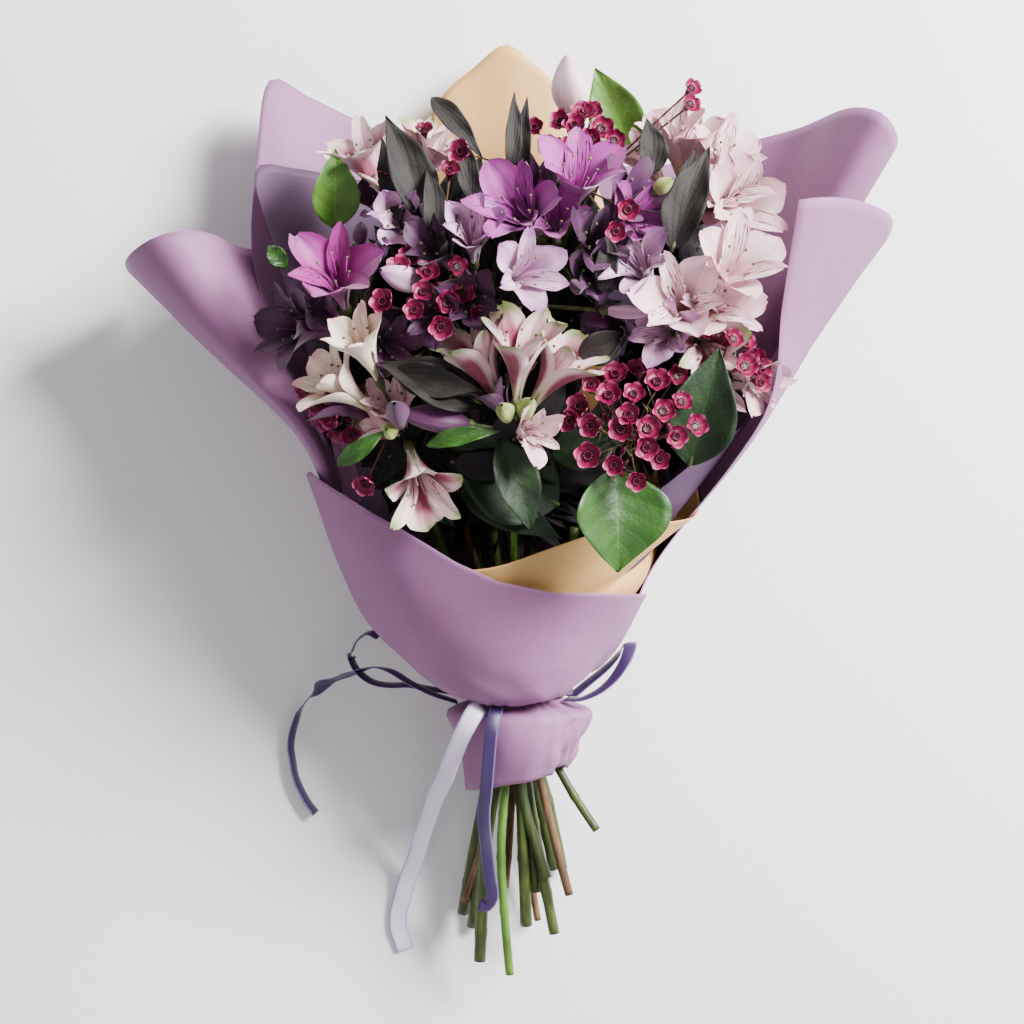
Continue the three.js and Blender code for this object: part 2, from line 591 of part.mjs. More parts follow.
const LEAVES = {
  leaf_salal_1: { base: [52, 22, 140], tip: [54, -31, 138], width: 50, face: [0, -0.2, 1], arch: 4, belly: 0.85 },
  leaf_salal_2: { base: [92, 24, 128], tip: [106, 84, 146], width: 34, face: [0.3, -0.4, 1], arch: 3, belly: 0.9 },
  leaf_salal_3: { base: [-94, 150, 92], tip: [-93, 191, 104], width: 24, face: [-0.2, -0.3, 1], arch: 2, belly: 0.9 },
  leaf_salal_4: { base: [68, 190, 62], tip: [45, 240, 62], width: 28, face: [0.2, 0, 1], arch: 3, belly: 0.9 },
  leaf_salal_5: { base: [24, 4, 112], tip: [-34, 34, 122], width: 46, face: [0, -0.3, 1], arch: 3, belly: 0.9 },
  leaf_narrow_1: { base: [-44, 150, 128], tip: [-66, 206, 120], width: 22, face: [-0.2, 0, 1], arch: 3, belly: 0.8 },
  leaf_narrow_2: { base: [82, 134, 144], tip: [102, 188, 134], width: 20, face: [0.3, 0, 1], arch: 3, belly: 0.8 },
  leaf_narrow_3: { base: [-16, 56, 142], tip: [-68, 76, 148], width: 24, face: [0, -0.3, 1], arch: 3, belly: 0.8 },
};

function leaves() {
  for (const [name, shape] of Object.entries(LEAVES)) {
    add(name, leaf(shape), FINISHES.leaf);
  }
}

// ---- Assembly -----------------------------------------------------------------------------

// Stands the bouquet's middle on the origin, measured without the loose ribbon tails.
function centre(group) {
  const box = new THREE.Box3();
  for (const mesh of group.children) {
    if (!mesh.name.startsWith('ribbon_tail')) {
      box.expandByObject(mesh);
    }
  }
  const middle = box.getCenter(place(0, 0, 0));
  group.position.set(-middle.x, -middle.y, -box.min.z);
}

stems();
paper();
ribbons();
flowers();
leaves();
centre(bouquet);

export default bouquet;
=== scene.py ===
"""A wrapped alstroemeria bouquet, lying on its back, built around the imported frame."""
import json
import math
import random

import bpy
from bpy.props import FloatProperty, FloatVectorProperty, IntProperty, PointerProperty
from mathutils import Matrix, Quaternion, Vector, noise


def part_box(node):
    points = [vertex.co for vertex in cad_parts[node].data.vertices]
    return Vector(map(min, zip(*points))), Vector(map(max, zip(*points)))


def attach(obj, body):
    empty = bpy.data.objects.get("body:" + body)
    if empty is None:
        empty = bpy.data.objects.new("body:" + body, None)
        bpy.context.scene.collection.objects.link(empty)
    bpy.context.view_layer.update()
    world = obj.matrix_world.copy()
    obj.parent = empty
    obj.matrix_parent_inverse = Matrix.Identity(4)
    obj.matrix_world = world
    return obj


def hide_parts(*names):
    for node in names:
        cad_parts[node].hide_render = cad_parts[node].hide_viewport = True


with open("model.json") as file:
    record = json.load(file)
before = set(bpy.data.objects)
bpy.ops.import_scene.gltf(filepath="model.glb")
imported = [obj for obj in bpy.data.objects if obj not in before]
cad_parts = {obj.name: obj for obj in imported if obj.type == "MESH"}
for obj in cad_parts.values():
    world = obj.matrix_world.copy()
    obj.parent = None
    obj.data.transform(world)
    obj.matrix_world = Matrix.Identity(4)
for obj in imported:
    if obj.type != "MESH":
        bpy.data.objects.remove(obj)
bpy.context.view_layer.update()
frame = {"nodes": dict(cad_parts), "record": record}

bl_info = {
    "name": "Wrapped alstroemeria bouquet",
    "version": (1, 0, 0),
    "blender": (4, 5, 0),
    "location": "View3D > Sidebar > Bouquet",
    "description": "Builds the paper, ribbon, stems, flowers and leaves of a hand-tied bouquet",
    "category": "Add Mesh",
}

MM = 0.001
GOLDEN_ANGLE = math.pi * (3 - math.sqrt(5))
TIE = Vector((2, -98, 38))  # middle of the tie, before the bouquet is centred on its origin
TIE_RADIUS = 25.4
SHEET_STEP = 2.2


# ---- Places -----------------------------------------------------------------------------


def middle_of(node):
    low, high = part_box(node)
    return (Vector(low) + Vector(high)) / 2


# The band round the tie says how far the bouquet was moved to stand on its origin.
BAND_MIDDLE = middle_of("ribbon_band")
SHIFT = Vector((BAND_MIDDLE.x - TIE.x * MM, BAND_MIDDLE.y - (TIE.y - 1) * MM, 0))


def at(point):
    """A point in millimetres, before centring, as a place in the frame."""
    return Vector(point) * MM + SHIFT


def corners_of(node):
    return [vertex.co.copy() for vertex in frame["nodes"][node].data.vertices]


def stance(node, stem):
    """Foot, mouth and facing of a flower, bud or spray on the head of its stem."""
    foot = head_of(stem)
    spots = corners_of(node)
    mean = sum(spots, Vector()) / len(spots)
    axis = (mean - foot).normalized()
    reach = max((spot - foot).dot(axis) for spot in spots)
    return foot, foot + axis * reach, axis


def spine_of(node):
    """The middle line of a stem, from its cut end to its head, read ring by ring."""
    spots = sorted(corners_of(node), key=lambda spot: spot.y)
    rings = [[spots[0]]]
    for spot in spots[1:]:
        if spot.y - rings[-1][-1].y > 6 * MM:
            rings.append([])
        rings[-1].append(spot)
    middles = [sum(ring, Vector()) / len(ring) for ring in rings]
    first = rings[0]
    radius = sum((spot - middles[0]).length for spot in first) / len(first)
    return middles, radius


def smooth_path(points, steps):
    """Points along a smooth curve through the given ones, about evenly spaced."""
    ends = [2 * points[0] - points[1], *points, 2 * points[-1] - points[-2]]
    fine = []
    for i in range(1, len(ends) - 2):
        a, b, c, d = ends[i - 1: i + 3]
        for k in range(8):
            t = k / 8
            fine.append(0.5 * (2 * b + (c - a) * t + (2 * a - 5 * b + 4 * c - d) * t * t
                               + (3 * b - a - 3 * c + d) * t ** 3))
    fine.append(points[-1].copy())
    return evenly(fine, steps)


def evenly(points, count):
    """The same line with a number of equal steps."""
    lengths = [0.0]
    for a, b in zip(points, points[1:]):
        lengths.append(lengths[-1] + (b - a).length)
    spaced = []
    k = 0
    for i in range(count):
        goal = lengths[-1] * i / (count - 1)
        while k < len(lengths) - 2 and lengths[k + 1] < goal:
            k += 1
        share = (goal - lengths[k]) / max(lengths[k + 1] - lengths[k], 1e-9)
        spaced.append(points[k].lerp(points[k + 1], min(share, 1.0)))
    return spaced


def ease(low, high, value):
    share = min(max((value - low) / (high - low), 0.0), 1.0)
    return share * share * (3 - 2 * share)


def follow(pairs, where):
    for (a, low), (b, high) in zip(pairs, pairs[1:]):
        if where <= b:
            return low + (high - low) * max(0.0, (where - a) / (b - a))
    return pairs[-1][1]


# ---- Meshes -----------------------------------------------------------------------------


class Shape:
    """Collects grids and tubes, with their UVs and materials, and makes one mesh of them."""

    def __init__(self):
        self.spots = []
        self.faces = []
        self.uvs = []
        self.slots = []

    def grid(self, rows, slot=0, uv=None, ring=False):
        start = len(self.spots)
        across = len(rows[0])
        down = len(rows)
        for row in rows:
            self.spots.extend(row)
        for i in range(down - 1):
            for j in range(across if ring else across - 1):
                k = (j + 1) % across
                cell = ((i, j, j), (i, k, j + 1), (i + 1, k, j + 1), (i + 1, j, j))
                self.faces.append([start + r * across + c for r, c, _ in cell])
                self.slots.append(slot)
                for r, _, c in cell:
                    u = c / (across if ring else across - 1)
                    self.uvs.append(uv(u, r / (down - 1)) if uv else (u, r / (down - 1)))

    def tube(self, points, radii, sides=8, slot=0, capped=True):
        """A round tube along points; radii is one radius or one for each point."""
        if not hasattr(radii, "__len__"):
            radii = [radii] * len(points)
        rows = []
        side = None
        for i, point in enumerate(points):
            way = (points[min(i + 1, len(points) - 1)] - points[max(i - 1, 0)]).normalized()
            side = way.orthogonal() if side is None else side - way * side.dot(way)
            side.normalize()
            up = way.cross(side)
            rows.append([
                point + radii[i] * (math.cos(a) * side + math.sin(a) * up)
                for a in (2 * math.pi * k / sides for k in range(sides))
            ])
        if capped:
            rows.insert(0, [points[0].copy() for _ in range(sides)])
            rows.append([points[-1].copy() for _ in range(sides)])
        self.grid(rows, slot, ring=True)

    def build(self, name, materials):
        mesh = bpy.data.meshes.new(name)
        mesh.from_pydata(self.spots, [], self.faces)
        layer = mesh.uv_layers.new(name="UVMap")
        layer.data.foreach_set("uv", [value for pair in self.uvs for value in pair])
        mesh.polygons.foreach_set("material_index", self.slots)
        mesh.polygons.foreach_set("use_smooth", [True] * len(self.faces))
        for material in materials:
            mesh.materials.append(material)
        mesh.update()
        piece = bpy.data.objects.new(name, mesh)
        bpy.context.scene.collection.objects.link(piece)
        return piece


def merged(piece, distance=0.00002):
    """Closes seams and poles where points of the mesh fall together."""
    weld = piece.modifiers.new("Weld", "WELD")
    weld.merge_threshold = distance
    return piece


def walled(piece, thickness, offset=0.0):
    wall = piece.modifiers.new("Wall", "SOLIDIFY")
    wall.thickness = thickness
    wall.offset = offset
    return piece


def as_mesh(piece):
    """The piece with its modifiers turned into plain mesh."""
    seen = piece.evaluated_get(bpy.context.evaluated_depsgraph_get())
    mesh = bpy.data.meshes.new_from_object(seen)
    piece.modifiers.clear()
    piece.data = mesh
    return piece


def settle(piece, slot, *nodes):
    """Rides the piece on the bouquet and lets it stand for its own CAD nodes."""
    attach(piece, "root")
    if nodes:
        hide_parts(*nodes)
    return piece


def slot_of(node):
    parts = frame["record"]["subparts"]
    return next(part["material_slot"] for part in parts if part["node"] == node)


# ---- Materials --------------------------------------------------------------------------


def srgb(value):
    """A colour from its sRGB hex value, in linear light."""
    parts = [int(value[i: i + 2], 16) / 255 for i in (1, 3, 5)]
    return [c / 12.92 if c <= 0.04045 else ((c + 0.055) / 1.055) ** 2.4 for c in parts]


def add(tree, kind, inputs=None, **settings):
    """Adds a node with its settings; an input is a value or another node's output."""
    item = tree.nodes.new(kind)
    for key, value in settings.items():
        setattr(item, key, value)
    for key, value in (inputs or {}).items():
        if isinstance(value, bpy.types.NodeSocket):
            tree.links.new(value, item.inputs[key])
        else:
            item.inputs[key].default_value = value
    return item


def surface(name, roughness, **sockets):
    """A new material with its main shader."""
    material = bpy.data.materials.new(name)
    material.use_nodes = True
    tree = material.node_tree
    tree.nodes.clear()
    shader = add(tree, "ShaderNodeBsdfPrincipled", {"Roughness": roughness, **sockets})
    add(tree, "ShaderNodeOutputMaterial", {"Surface": shader.outputs[0]})
    return material, tree, shader


def colours(tree, factor, stops):
    ramp = add(tree, "ShaderNodeValToRGB", {"Fac": factor})
    band = ramp.color_ramp
    while len(band.elements) < len(stops):
        band.elements.new(0.5)
    for element, (place, colour) in zip(band.elements, stops):
        element.position = place
        element.color = (*colour, 1)
    return ramp.outputs["Color"]


def blend(tree, factor, a, b, mode="MIX"):
    item = add(tree, "ShaderNodeMix", data_type="RGBA", blend_type=mode)
    for socket, value in ((item.inputs[0], factor), (item.inputs[6], a), (item.inputs[7], b)):
        if isinstance(value, bpy.types.NodeSocket):
            tree.links.new(value, socket)
        else:
            socket.default_value = value if socket.type == "VALUE" else (*value, 1)[:4]
    return item.outputs[2]


def maths(tree, operation, a, b=0.0, c=0.0):
    return add(tree, "ShaderNodeMath", {0: a, 1: b, 2: c}, operation=operation).outputs[0]


def bump(tree, shader, height, strength, distance):
    item = add(tree, "ShaderNodeBump",
               {"Height": height, "Strength": strength, "Distance": distance})
    tree.links.new(item.outputs[0], shader.inputs["Normal"])


def wrapping_paper(name, colour, shade, fibre_mm):
    """Matt dyed paper: soft light over it, fibres that show close to, faint clouding."""
    material, tree, shader = surface(name, 0.62, **{"Specular IOR Level": 0.28})
    where = add(tree, "ShaderNodeTexCoord").outputs["Object"]
    cloud = add(tree, "ShaderNodeTexNoise", {"Vector": where, "Scale": 14.0, "Detail": 4.0})
    fibre = add(tree, "ShaderNodeTexNoise",
                {"Vector": where, "Scale": 1 / (fibre_mm * MM), "Detail": 5.0, "Roughness": 0.7})
    tint = colours(tree, cloud.outputs[0], [(0.3, shade), (0.7, colour)])
    fleck = colours(tree, fibre.outputs[0], [(0.35, srgb("#c9c0c9")), (0.6, srgb("#ffffff"))])
    tree.links.new(blend(tree, 0.35, tint, fleck, "MULTIPLY"), shader.inputs["Base Color"])
    crease = add(tree, "ShaderNodeTexNoise", {"Vector": where, "Scale": 60.0, "Detail": 3.0})
    height = maths(tree, "MULTIPLY_ADD", fibre.outputs[0], 0.25, crease.outputs[0])
    bump(tree, shader, height, 0.25, 0.0006)
    return material


def satin_ribbon(name, colour, edge):
    """Polyester satin: a soft bright line along the folds and fine threads across it."""
    material, tree, shader = surface(
        name, 0.36, **{"Sheen Weight": 0.12, "Sheen Roughness": 0.4, "Anisotropic": 0.5})
    uv = add(tree, "ShaderNodeUVMap").outputs[0]
    u = add(tree, "ShaderNodeSeparateXYZ", {0: uv}).outputs[0]
    middle = maths(tree, "ABSOLUTE", maths(tree, "SUBTRACT", u, 0.5))
    tint = colours(tree, middle, [(0.0, colour), (0.38, colour), (0.5, edge)])
    tree.links.new(tint, shader.inputs["Base Color"])
    stretched = add(tree, "ShaderNodeMapping", {"Vector": uv, "Scale": (8.0, 700.0, 1.0)})
    thread = add(tree, "ShaderNodeTexNoise", {"Vector": stretched.outputs[0], "Scale": 1.0})
    bump(tree, shader, thread.outputs[0], 0.3, 0.0003)
    return material


def petal(name, base, tip, throat, stripe, streak, stripe_share, streak_share):
    """A soft tepal: fine veins, light through its edge, a stripe and dark streaks.

    U runs across one tepal, and over 2 on the three inner ones; V runs from base to tip.
    """
    material, tree, shader = surface(
        name, 0.5, **{"Subsurface Weight": 0.12, "Subsurface Scale": 0.002,
                      "Sheen Weight": 0.2, "Specular IOR Level": 0.35})
    shader.inputs["Subsurface Radius"].default_value = (1.0, 0.6, 0.6)
    uv = add(tree, "ShaderNodeUVMap").outputs[0]
    parts = add(tree, "ShaderNodeSeparateXYZ", {0: uv})
    u, v = parts.outputs[0], parts.outputs[1]
    inner = maths(tree, "GREATER_THAN", u, 1.5)
    across = maths(tree, "ABSOLUTE", maths(tree, "SUBTRACT", maths(tree, "FRACT", u), 0.5))
    where = add(tree, "ShaderNodeTexCoord").outputs["Object"]
    cloud = add(tree, "ShaderNodeTexNoise", {"Vector": where, "Scale": 90.0, "Detail": 3.0})
    wander = maths(tree, "MULTIPLY_ADD", cloud.outputs[0], 0.22, maths(tree, "SUBTRACT", v, 0.11))
    tint = colours(tree, wander, [(0.12, throat), (0.42, base), (0.82, base), (0.97, tip)])
    # The stripe down the middle of the outer tepals, widest below the tip.
    band = maths(tree, "SUBTRACT", 2.0, maths(tree, "MULTIPLY", across, 6.4))
    band = maths(tree, "MINIMUM", band, 1.0)
    reach = maths(tree, "MULTIPLY", maths(tree, "SINE", maths(tree, "MULTIPLY", v, math.pi)), 1.3)
    band = maths(tree, "MULTIPLY", maths(tree, "MAXIMUM", band, 0.0), reach)
    band = maths(tree, "MULTIPLY", band, maths(tree, "SUBTRACT", 1.0, inner))
    band = maths(tree, "MULTIPLY", maths(tree, "MINIMUM", band, 1.0), stripe_share)
    tint = blend(tree, band, tint, stripe)
    # Short dark streaks that lie along the inner tepals.
    drawn = add(tree, "ShaderNodeMapping", {"Vector": uv, "Scale": (19.0, 4.5, 1.0)})
    dash = add(tree, "ShaderNodeTexNoise", {"Vector": drawn.outputs[0], "Scale": 1.0, "Detail": 1.0})
    dark = colours(tree, dash.outputs[0], [(0.56, (0, 0, 0)), (0.62, (1, 1, 1))])
    window = maths(tree, "MULTIPLY", maths(tree, "GREATER_THAN", v, 0.35),
                   maths(tree, "LESS_THAN", v, 0.86))
    dark = maths(tree, "MULTIPLY", dark, maths(tree, "MULTIPLY", window, inner))
    dark = maths(tree, "MULTIPLY", dark, streak_share)
    tint = blend(tree, dark, tint, streak)
    # Veins run the length of the tepal, close together.
    lines = add(tree, "ShaderNodeMapping", {"Vector": uv, "Scale": (26.0, 0.9, 1.0)})
    vein = add(tree, "ShaderNodeTexNoise", {"Vector": lines.outputs[0], "Scale": 1.0, "Detail": 2.0})
    faint = colours(tree, vein.outputs[0], [(0.3, srgb("#d8c8d2")), (0.6, srgb("#ffffff"))])
    tree.links.new(blend(tree, 0.5, tint, faint, "MULTIPLY"), shader.inputs["Base Color"])
    bump(tree, shader, vein.outputs[0], 0.45, 0.0005)
    return material


def fresh_stem(name, colour, node_colour, roughness=0.5):
    """A smooth waxy stem with long pale lines and browner places."""
    material, tree, shader = surface(name, roughness)
    where = add(tree, "ShaderNodeTexCoord").outputs["Object"]
    long = add(tree, "ShaderNodeMapping", {"Vector": where, "Scale": (420.0, 16.0, 420.0)})
    grain = add(tree, "ShaderNodeTexNoise", {"Vector": long.outputs[0], "Scale": 1.0, "Detail": 4.0})
    cloud = add(tree, "ShaderNodeTexNoise", {"Vector": where, "Scale": 45.0, "Detail": 2.0})
    tint = colours(tree, grain.outputs[0], [(0.3, node_colour), (0.62, colour)])
    patch = colours(tree, cloud.outputs[0], [(0.35, srgb("#8d8a66")), (0.6, srgb("#ffffff"))])
    tree.links.new(blend(tree, 0.6, tint, patch, "MULTIPLY"), shader.inputs["Base Color"])
    bump(tree, shader, grain.outputs[0], 0.35, 0.0006)
    return material


def leaf_skin(name, colour, deep, rib, rib_count, slant, roughness):
    """A leaf with a pale midrib and side veins; U runs across it and V along it."""
    material, tree, shader = surface(name, roughness, **{"Specular IOR Level": 0.5})
    uv = add(tree, "ShaderNodeUVMap").outputs[0]
    parts = add(tree, "ShaderNodeSeparateXYZ", {0: uv})
    across = maths(tree, "ABSOLUTE", maths(tree, "SUBTRACT", parts.outputs[0], 0.5))
    midrib = maths(tree, "LESS_THAN", across, 0.012)
    slanted = maths(tree, "MULTIPLY_ADD", across, -slant, parts.outputs[1])
    wave = maths(tree, "SINE", maths(tree, "MULTIPLY", slanted, rib_count * 2 * math.pi))
    side = maths(tree, "GREATER_THAN", wave, 0.93)
    where = add(tree, "ShaderNodeTexCoord").outputs["Object"]
    cloud = add(tree, "ShaderNodeTexNoise", {"Vector": where, "Scale": 70.0, "Detail": 4.0})
    tint = colours(tree, cloud.outputs[0], [(0.3, deep), (0.68, colour)])
    tint = blend(tree, maths(tree, "MULTIPLY", side, 0.22), tint, rib)
    tint = blend(tree, maths(tree, "MULTIPLY", midrib, 0.7), tint, rib)
    tree.links.new(tint, shader.inputs["Base Color"])
    net = add(tree, "ShaderNodeTexVoronoi", {"Vector": where, "Scale": 520.0})
    height = maths(tree, "MULTIPLY_ADD", wave, -0.4, net.outputs[0])
    bump(tree, shader, height, 0.35, 0.0004)
    return material


def wax_petal(name, colour, rim, heart):
    """Small thick petals with a wet look, paler at the rim round a dark cup; V runs outwards."""
    material, tree, shader = surface(name, 0.4, **{"Specular IOR Level": 0.3})
    uv = add(tree, "ShaderNodeUVMap").outputs[0]
    v = add(tree, "ShaderNodeSeparateXYZ", {0: uv}).outputs[1]
    tint = colours(tree, v, [(0.0, heart), (0.38, heart), (0.5, colour), (0.84, colour), (1.0, rim)])
    tree.links.new(tint, shader.inputs["Base Color"])
    where = add(tree, "ShaderNodeTexCoord").outputs["Object"]
    pore = add(tree, "ShaderNodeTexNoise", {"Vector": where, "Scale": 900.0})
    bump(tree, shader, pore.outputs[0], 0.2, 0.0003)
    return material


def plain_stage(name, colour):
    material, tree, shader = surface(name, 0.9)
    where = add(tree, "ShaderNodeTexCoord").outputs["Object"]
    cloud = add(tree, "ShaderNodeTexNoise", {"Vector": where, "Scale": 2.0})
    pale = [min(1.0, c * 1.02) for c in colour]
    tint = colours(tree, cloud.outputs[0], [(0.3, colour), (0.7, pale)])
    tree.links.new(tint, shader.inputs["Base Color"])
    return material


# Base, tip, throat, stripe and streak colours, then how strongly the last two show.
TEPAL_COLOURS = {
    "blush": ("#f3d0d2", "#8c9a5e", "#dcd9b0", "#8f2348", "#7a2c48", 0.95, 0.5),
    "pale": ("#f2d2d8", "#e6b2c0", "#e6d4a0", "#d693a6", "#6b2a40", 0.22, 1.0),
    "cream": ("#f2e0cc", "#e9b9b4", "#d9dca4", "#e7c3ae", "#8a4a48", 0.3, 0.4),
    "rose": ("#ecc3cd", "#e9d4c4", "#e4dcb4", "#a02a5e", "#7a2c48", 0.8, 0.6),
    "magenta": ("#961f7c", "#80186c", "#d79ac6", "#c25fae", "#3d0f3a", 0.4, 0.9),
    "violet": ("#a63a96", "#8e2a80", "#e2bcd8", "#bb6ab0", "#36103a", 0.35, 1.0),
    # plum is painted shade: near-black purple tepals for flowers that lie in shade deep in the bunch.
    "plum": ("#4e1f48", "#381636", "#7d4274", "#6e3468", "#1f0a22", 0.5, 0.6),
    "lilac": ("#d8aecb", "#a468a6", "#ecdae4", "#8c4c94", "#4b2a60", 0.4, 0.8),
}

finishes = {}


def make_finishes(settings):
    finishes["lilac paper"] = wrapping_paper(
        "lilac_kraft_paper", settings.paper_colour, srgb("#8f6288"), 0.9)
    # The inner sheet's darker paper is painted shade: it lies in shade inside the wrap.
    finishes["dark paper"] = wrapping_paper(
        "lining_paper_painted_shade", srgb("#5f4560"), srgb("#513a54"), 0.9)
    finishes["kraft paper"] = wrapping_paper(
        "unbleached_kraft_paper", settings.kraft_colour, srgb("#d0a468"), 0.7)
    finishes["lilac ribbon"] = satin_ribbon(
        "lilac_satin_ribbon", settings.lilac_ribbon, srgb("#b6a0da"))
    finishes["violet ribbon"] = satin_ribbon(
        "violet_satin_ribbon", settings.violet_ribbon, srgb("#6a5692"))
    finishes["stem"] = fresh_stem("alstroemeria_stem", srgb("#4c5c20"), srgb("#303c14"))
    finishes["bright stem"] = fresh_stem("young_green_stem", srgb("#5f8a2c"), srgb("#45701c"))
    finishes["bark"] = fresh_stem("waxflower_bark", srgb("#7c5a38"), srgb("#4a3222"), 0.7)
    finishes["cut"] = fresh_stem("cut_stem_end", srgb("#c3c48c"), srgb("#8d9458"), 0.6)
    finishes["stalk"] = fresh_stem("flower_stalk", srgb("#5c6d34"), srgb("#4a3a34"))
    finishes["salal"] = leaf_skin(
        "salal_leaf", srgb("#2b5410"), srgb("#1b400a"), srgb("#43691f"), 6, 0.5, 0.5)
    finishes["young salal"] = leaf_skin(
        "young_salal_leaf", srgb("#57802c"), srgb("#44701c"), srgb("#6d9440"), 6, 0.5, 0.5)
    finishes["dark salal"] = leaf_skin(
        "shaded_salal_leaf", srgb("#15330c"), srgb("#0b1e06"), srgb("#214416"), 6, 0.5, 0.6)
    finishes["narrow leaf"] = leaf_skin(
        "alstroemeria_leaf", srgb("#211b15"), srgb("#130d10"), srgb("#2e271a"), 3, 2.0, 0.75)
    finishes["deep leaf"] = leaf_skin(
        "leaf_in_deep_shade", srgb("#1c1016"), srgb("#08090a"), srgb("#2a1f26"), 3, 9.0, 0.85)
    finishes["green bud"] = petal("green_bud", *[
        srgb(shade) for shade in ("#a9b765", "#7d8f45", "#8fa350", "#6f8138", "#4e5c2a")], 0.5, 0.2)
    finishes["waxflower"] = wax_petal(
        "waxflower_petal", srgb("#76083a"), srgb("#c4568a"), srgb("#300312"))
    finishes["anther"] = fresh_stem("anther", srgb("#7d7a52"), srgb("#4a3f3a"), 0.8)
    for name, (*shades, stripe_share, streak_share) in TEPAL_COLOURS.items():
        finishes[name] = petal(
            f"{name}_tepal", *[srgb(shade) for shade in shades], stripe_share, streak_share)


# ---- Paper ------------------------------------------------------------------------------

# Outline of the wrapped cone in mm: y, left, right, low and high, as the CAD sheets have it.
CONE = (
    (-152, -26, 30, 2, 72), (-137, -27, 37, 0, 79), (-121, -31, 41, -1, 82), (-109, -36, 43, 1, 80),
    (-102, -23.4, 27.4, 12.6, 63.4), (-94, -23.4, 27.4, 12.6, 63.4), (-86, -50, 46, 1, 86),
    (-77, -64, 55, -2, 97), (-60, -78, 65, -5, 108), (-42, -89, 74, -6, 118),
    (0, -104, 95, -6, 130), (26, -112, 114, -6, 136), (48, -121, 131, -6, 138),
)
FLARE_START = -84

SHEETS = {
    "paper_outer": dict(
        turn=(-80, -280), first=-152, waist=((0, -24), (1, -24)), step=1, tuck=0,
        crest=((-103, 31, 54), (-109, 33, 76), (-110, 35, 90), (-107, 36, 99), (-103, 36, 97),
               (-98, 34, 80), (-93, 30, 54), (-76, 19, 18), (-50, 12, 0), (0, 9, -5),
               (49, 12, -3), (88, 23, 8), (115, 34, 28), (130, 41, 62), (134, 47, 92),
               (133, 50, 112), (131, 51, 122)),
        rim=((-201, 125, 22), (-209, 130, 48), (-206, 136, 78), (-191, 144, 98),
             (-174, 149, 96), (-159, 149, 72), (-144, 144, 42), (-118, 151, 14), (-80, 170, 0),
             (0, 186, -3), (72, 180, -2), (139, 163, 1), (178, 146, 7), (202, 146, 26),
             (206, 155, 62), (197, 160, 92), (180, 163, 114), (163, 163, 128), (148, 161, 134))),
    "paper_front": dict(
        turn=(-105, 105), first=-152, step=0, tuck=0,
        waist=((0, 18), (0.14, 22), (0.24, 9), (0.34, -8), (0.43, -26), (0.5, -36), (0.6, -42),
               (1, -45))),
    "paper_back": dict(
        turn=(-110, -258), first=-102, waist=((0, 10), (0.3, 2), (0.7, 2), (1, 20)), step=2, tuck=5,
        rim=((-130, 98, 56), (-142, 142, 48), (-140, 192, 40), (-134, 237, 36), (-112, 230, 22),
             (-89, 220, 12), (-46, 202, 5), (0, 197, 3.5), (49, 194, 4), (99, 196, 8),
             (129, 205, 20), (158, 211, 38), (181, 217, 72), (197, 211, 92), (206, 199, 80),
             (204, 190, 56))),
    "paper_kraft": dict(
        turn=(-165, -375), first=-102, step=3, tuck=0,
        waist=((0, 2), (0.3, 2), (0.5, -20), (0.7, -46), (1, -56)),
        rim=((-60, 190, 8), (-40, 229, 20), (-23, 245, 22), (-4, 259, 25), (10, 250, 23),
             (23, 238, 20), (40, 205, 12), (58, 150, 5), (76, 95, 5), (92, 45, 14), (101, 14, 44),
             (100, 0, 76), (92, -4, 97), (74, -6, 108), (52, -9, 115), (25, -17, 120),
             (-6, -28, 121), (-30, -31, 119))),
    "paper_inner": dict(
        turn=(-86, -320), first=-102, step=4, tuck=6,
        waist=((0, 0), (0.3, 2), (0.6, 0), (0.8, -20), (1, -40)),
        rim=((-102, 62, 76), (-112, 94, 70), (-128, 141, 62), (-139, 185, 60), (-117, 187, 50),
             (-90, 184, 34), (-46, 178, 16), (0, 172, 11), (46, 158, 14), (84, 126, 28),
             (112, 92, 58), (125, 60, 94), (124, 48, 107), (102, 32, 110), (80, 14, 110),
             (58, 0, 110))),
}


def on_cone(y, angle, inset):
    """A point in mm on the wrapped cone: angle 0 is the front, -90 the left, in degrees."""
    for low, high in zip(CONE, CONE[1:]):
        if y <= high[0]:
            break
    share = (y - low[0]) / (high[0] - low[0])
    left, right, floor, top = (a + (b - a) * share for a, b in zip(low[1:], high[1:]))
    turned = math.radians(angle)
    return Vector(((left + right) / 2 + ((right - left) / 2 - inset) * math.sin(turned), y,
                   (floor + top) / 2 + ((top - floor) / 2 - inset) * math.cos(turned)))


def pouched(point, angle, depth):
    """Lets the front of the pocket sag over the tie, as stiff paper does above a tight bow."""
    lean = max(0.0, math.cos(math.radians(angle * 1.15))) if abs(angle) < 78 else 0.0
    low = math.exp(-((point.y + 84) / 14) ** 2) if point.y > -92 else 0.0
    return point + Vector((0, -depth * lean * low, 0))


def skewed(point, angle):
    """Cuts the hem below the tie aslant, so that it rises towards the right."""
    below = max(0.0, (-112 - point.y) / 40)
    return point + Vector((0, 6 * below * (1 + math.sin(math.radians(angle))), 0))


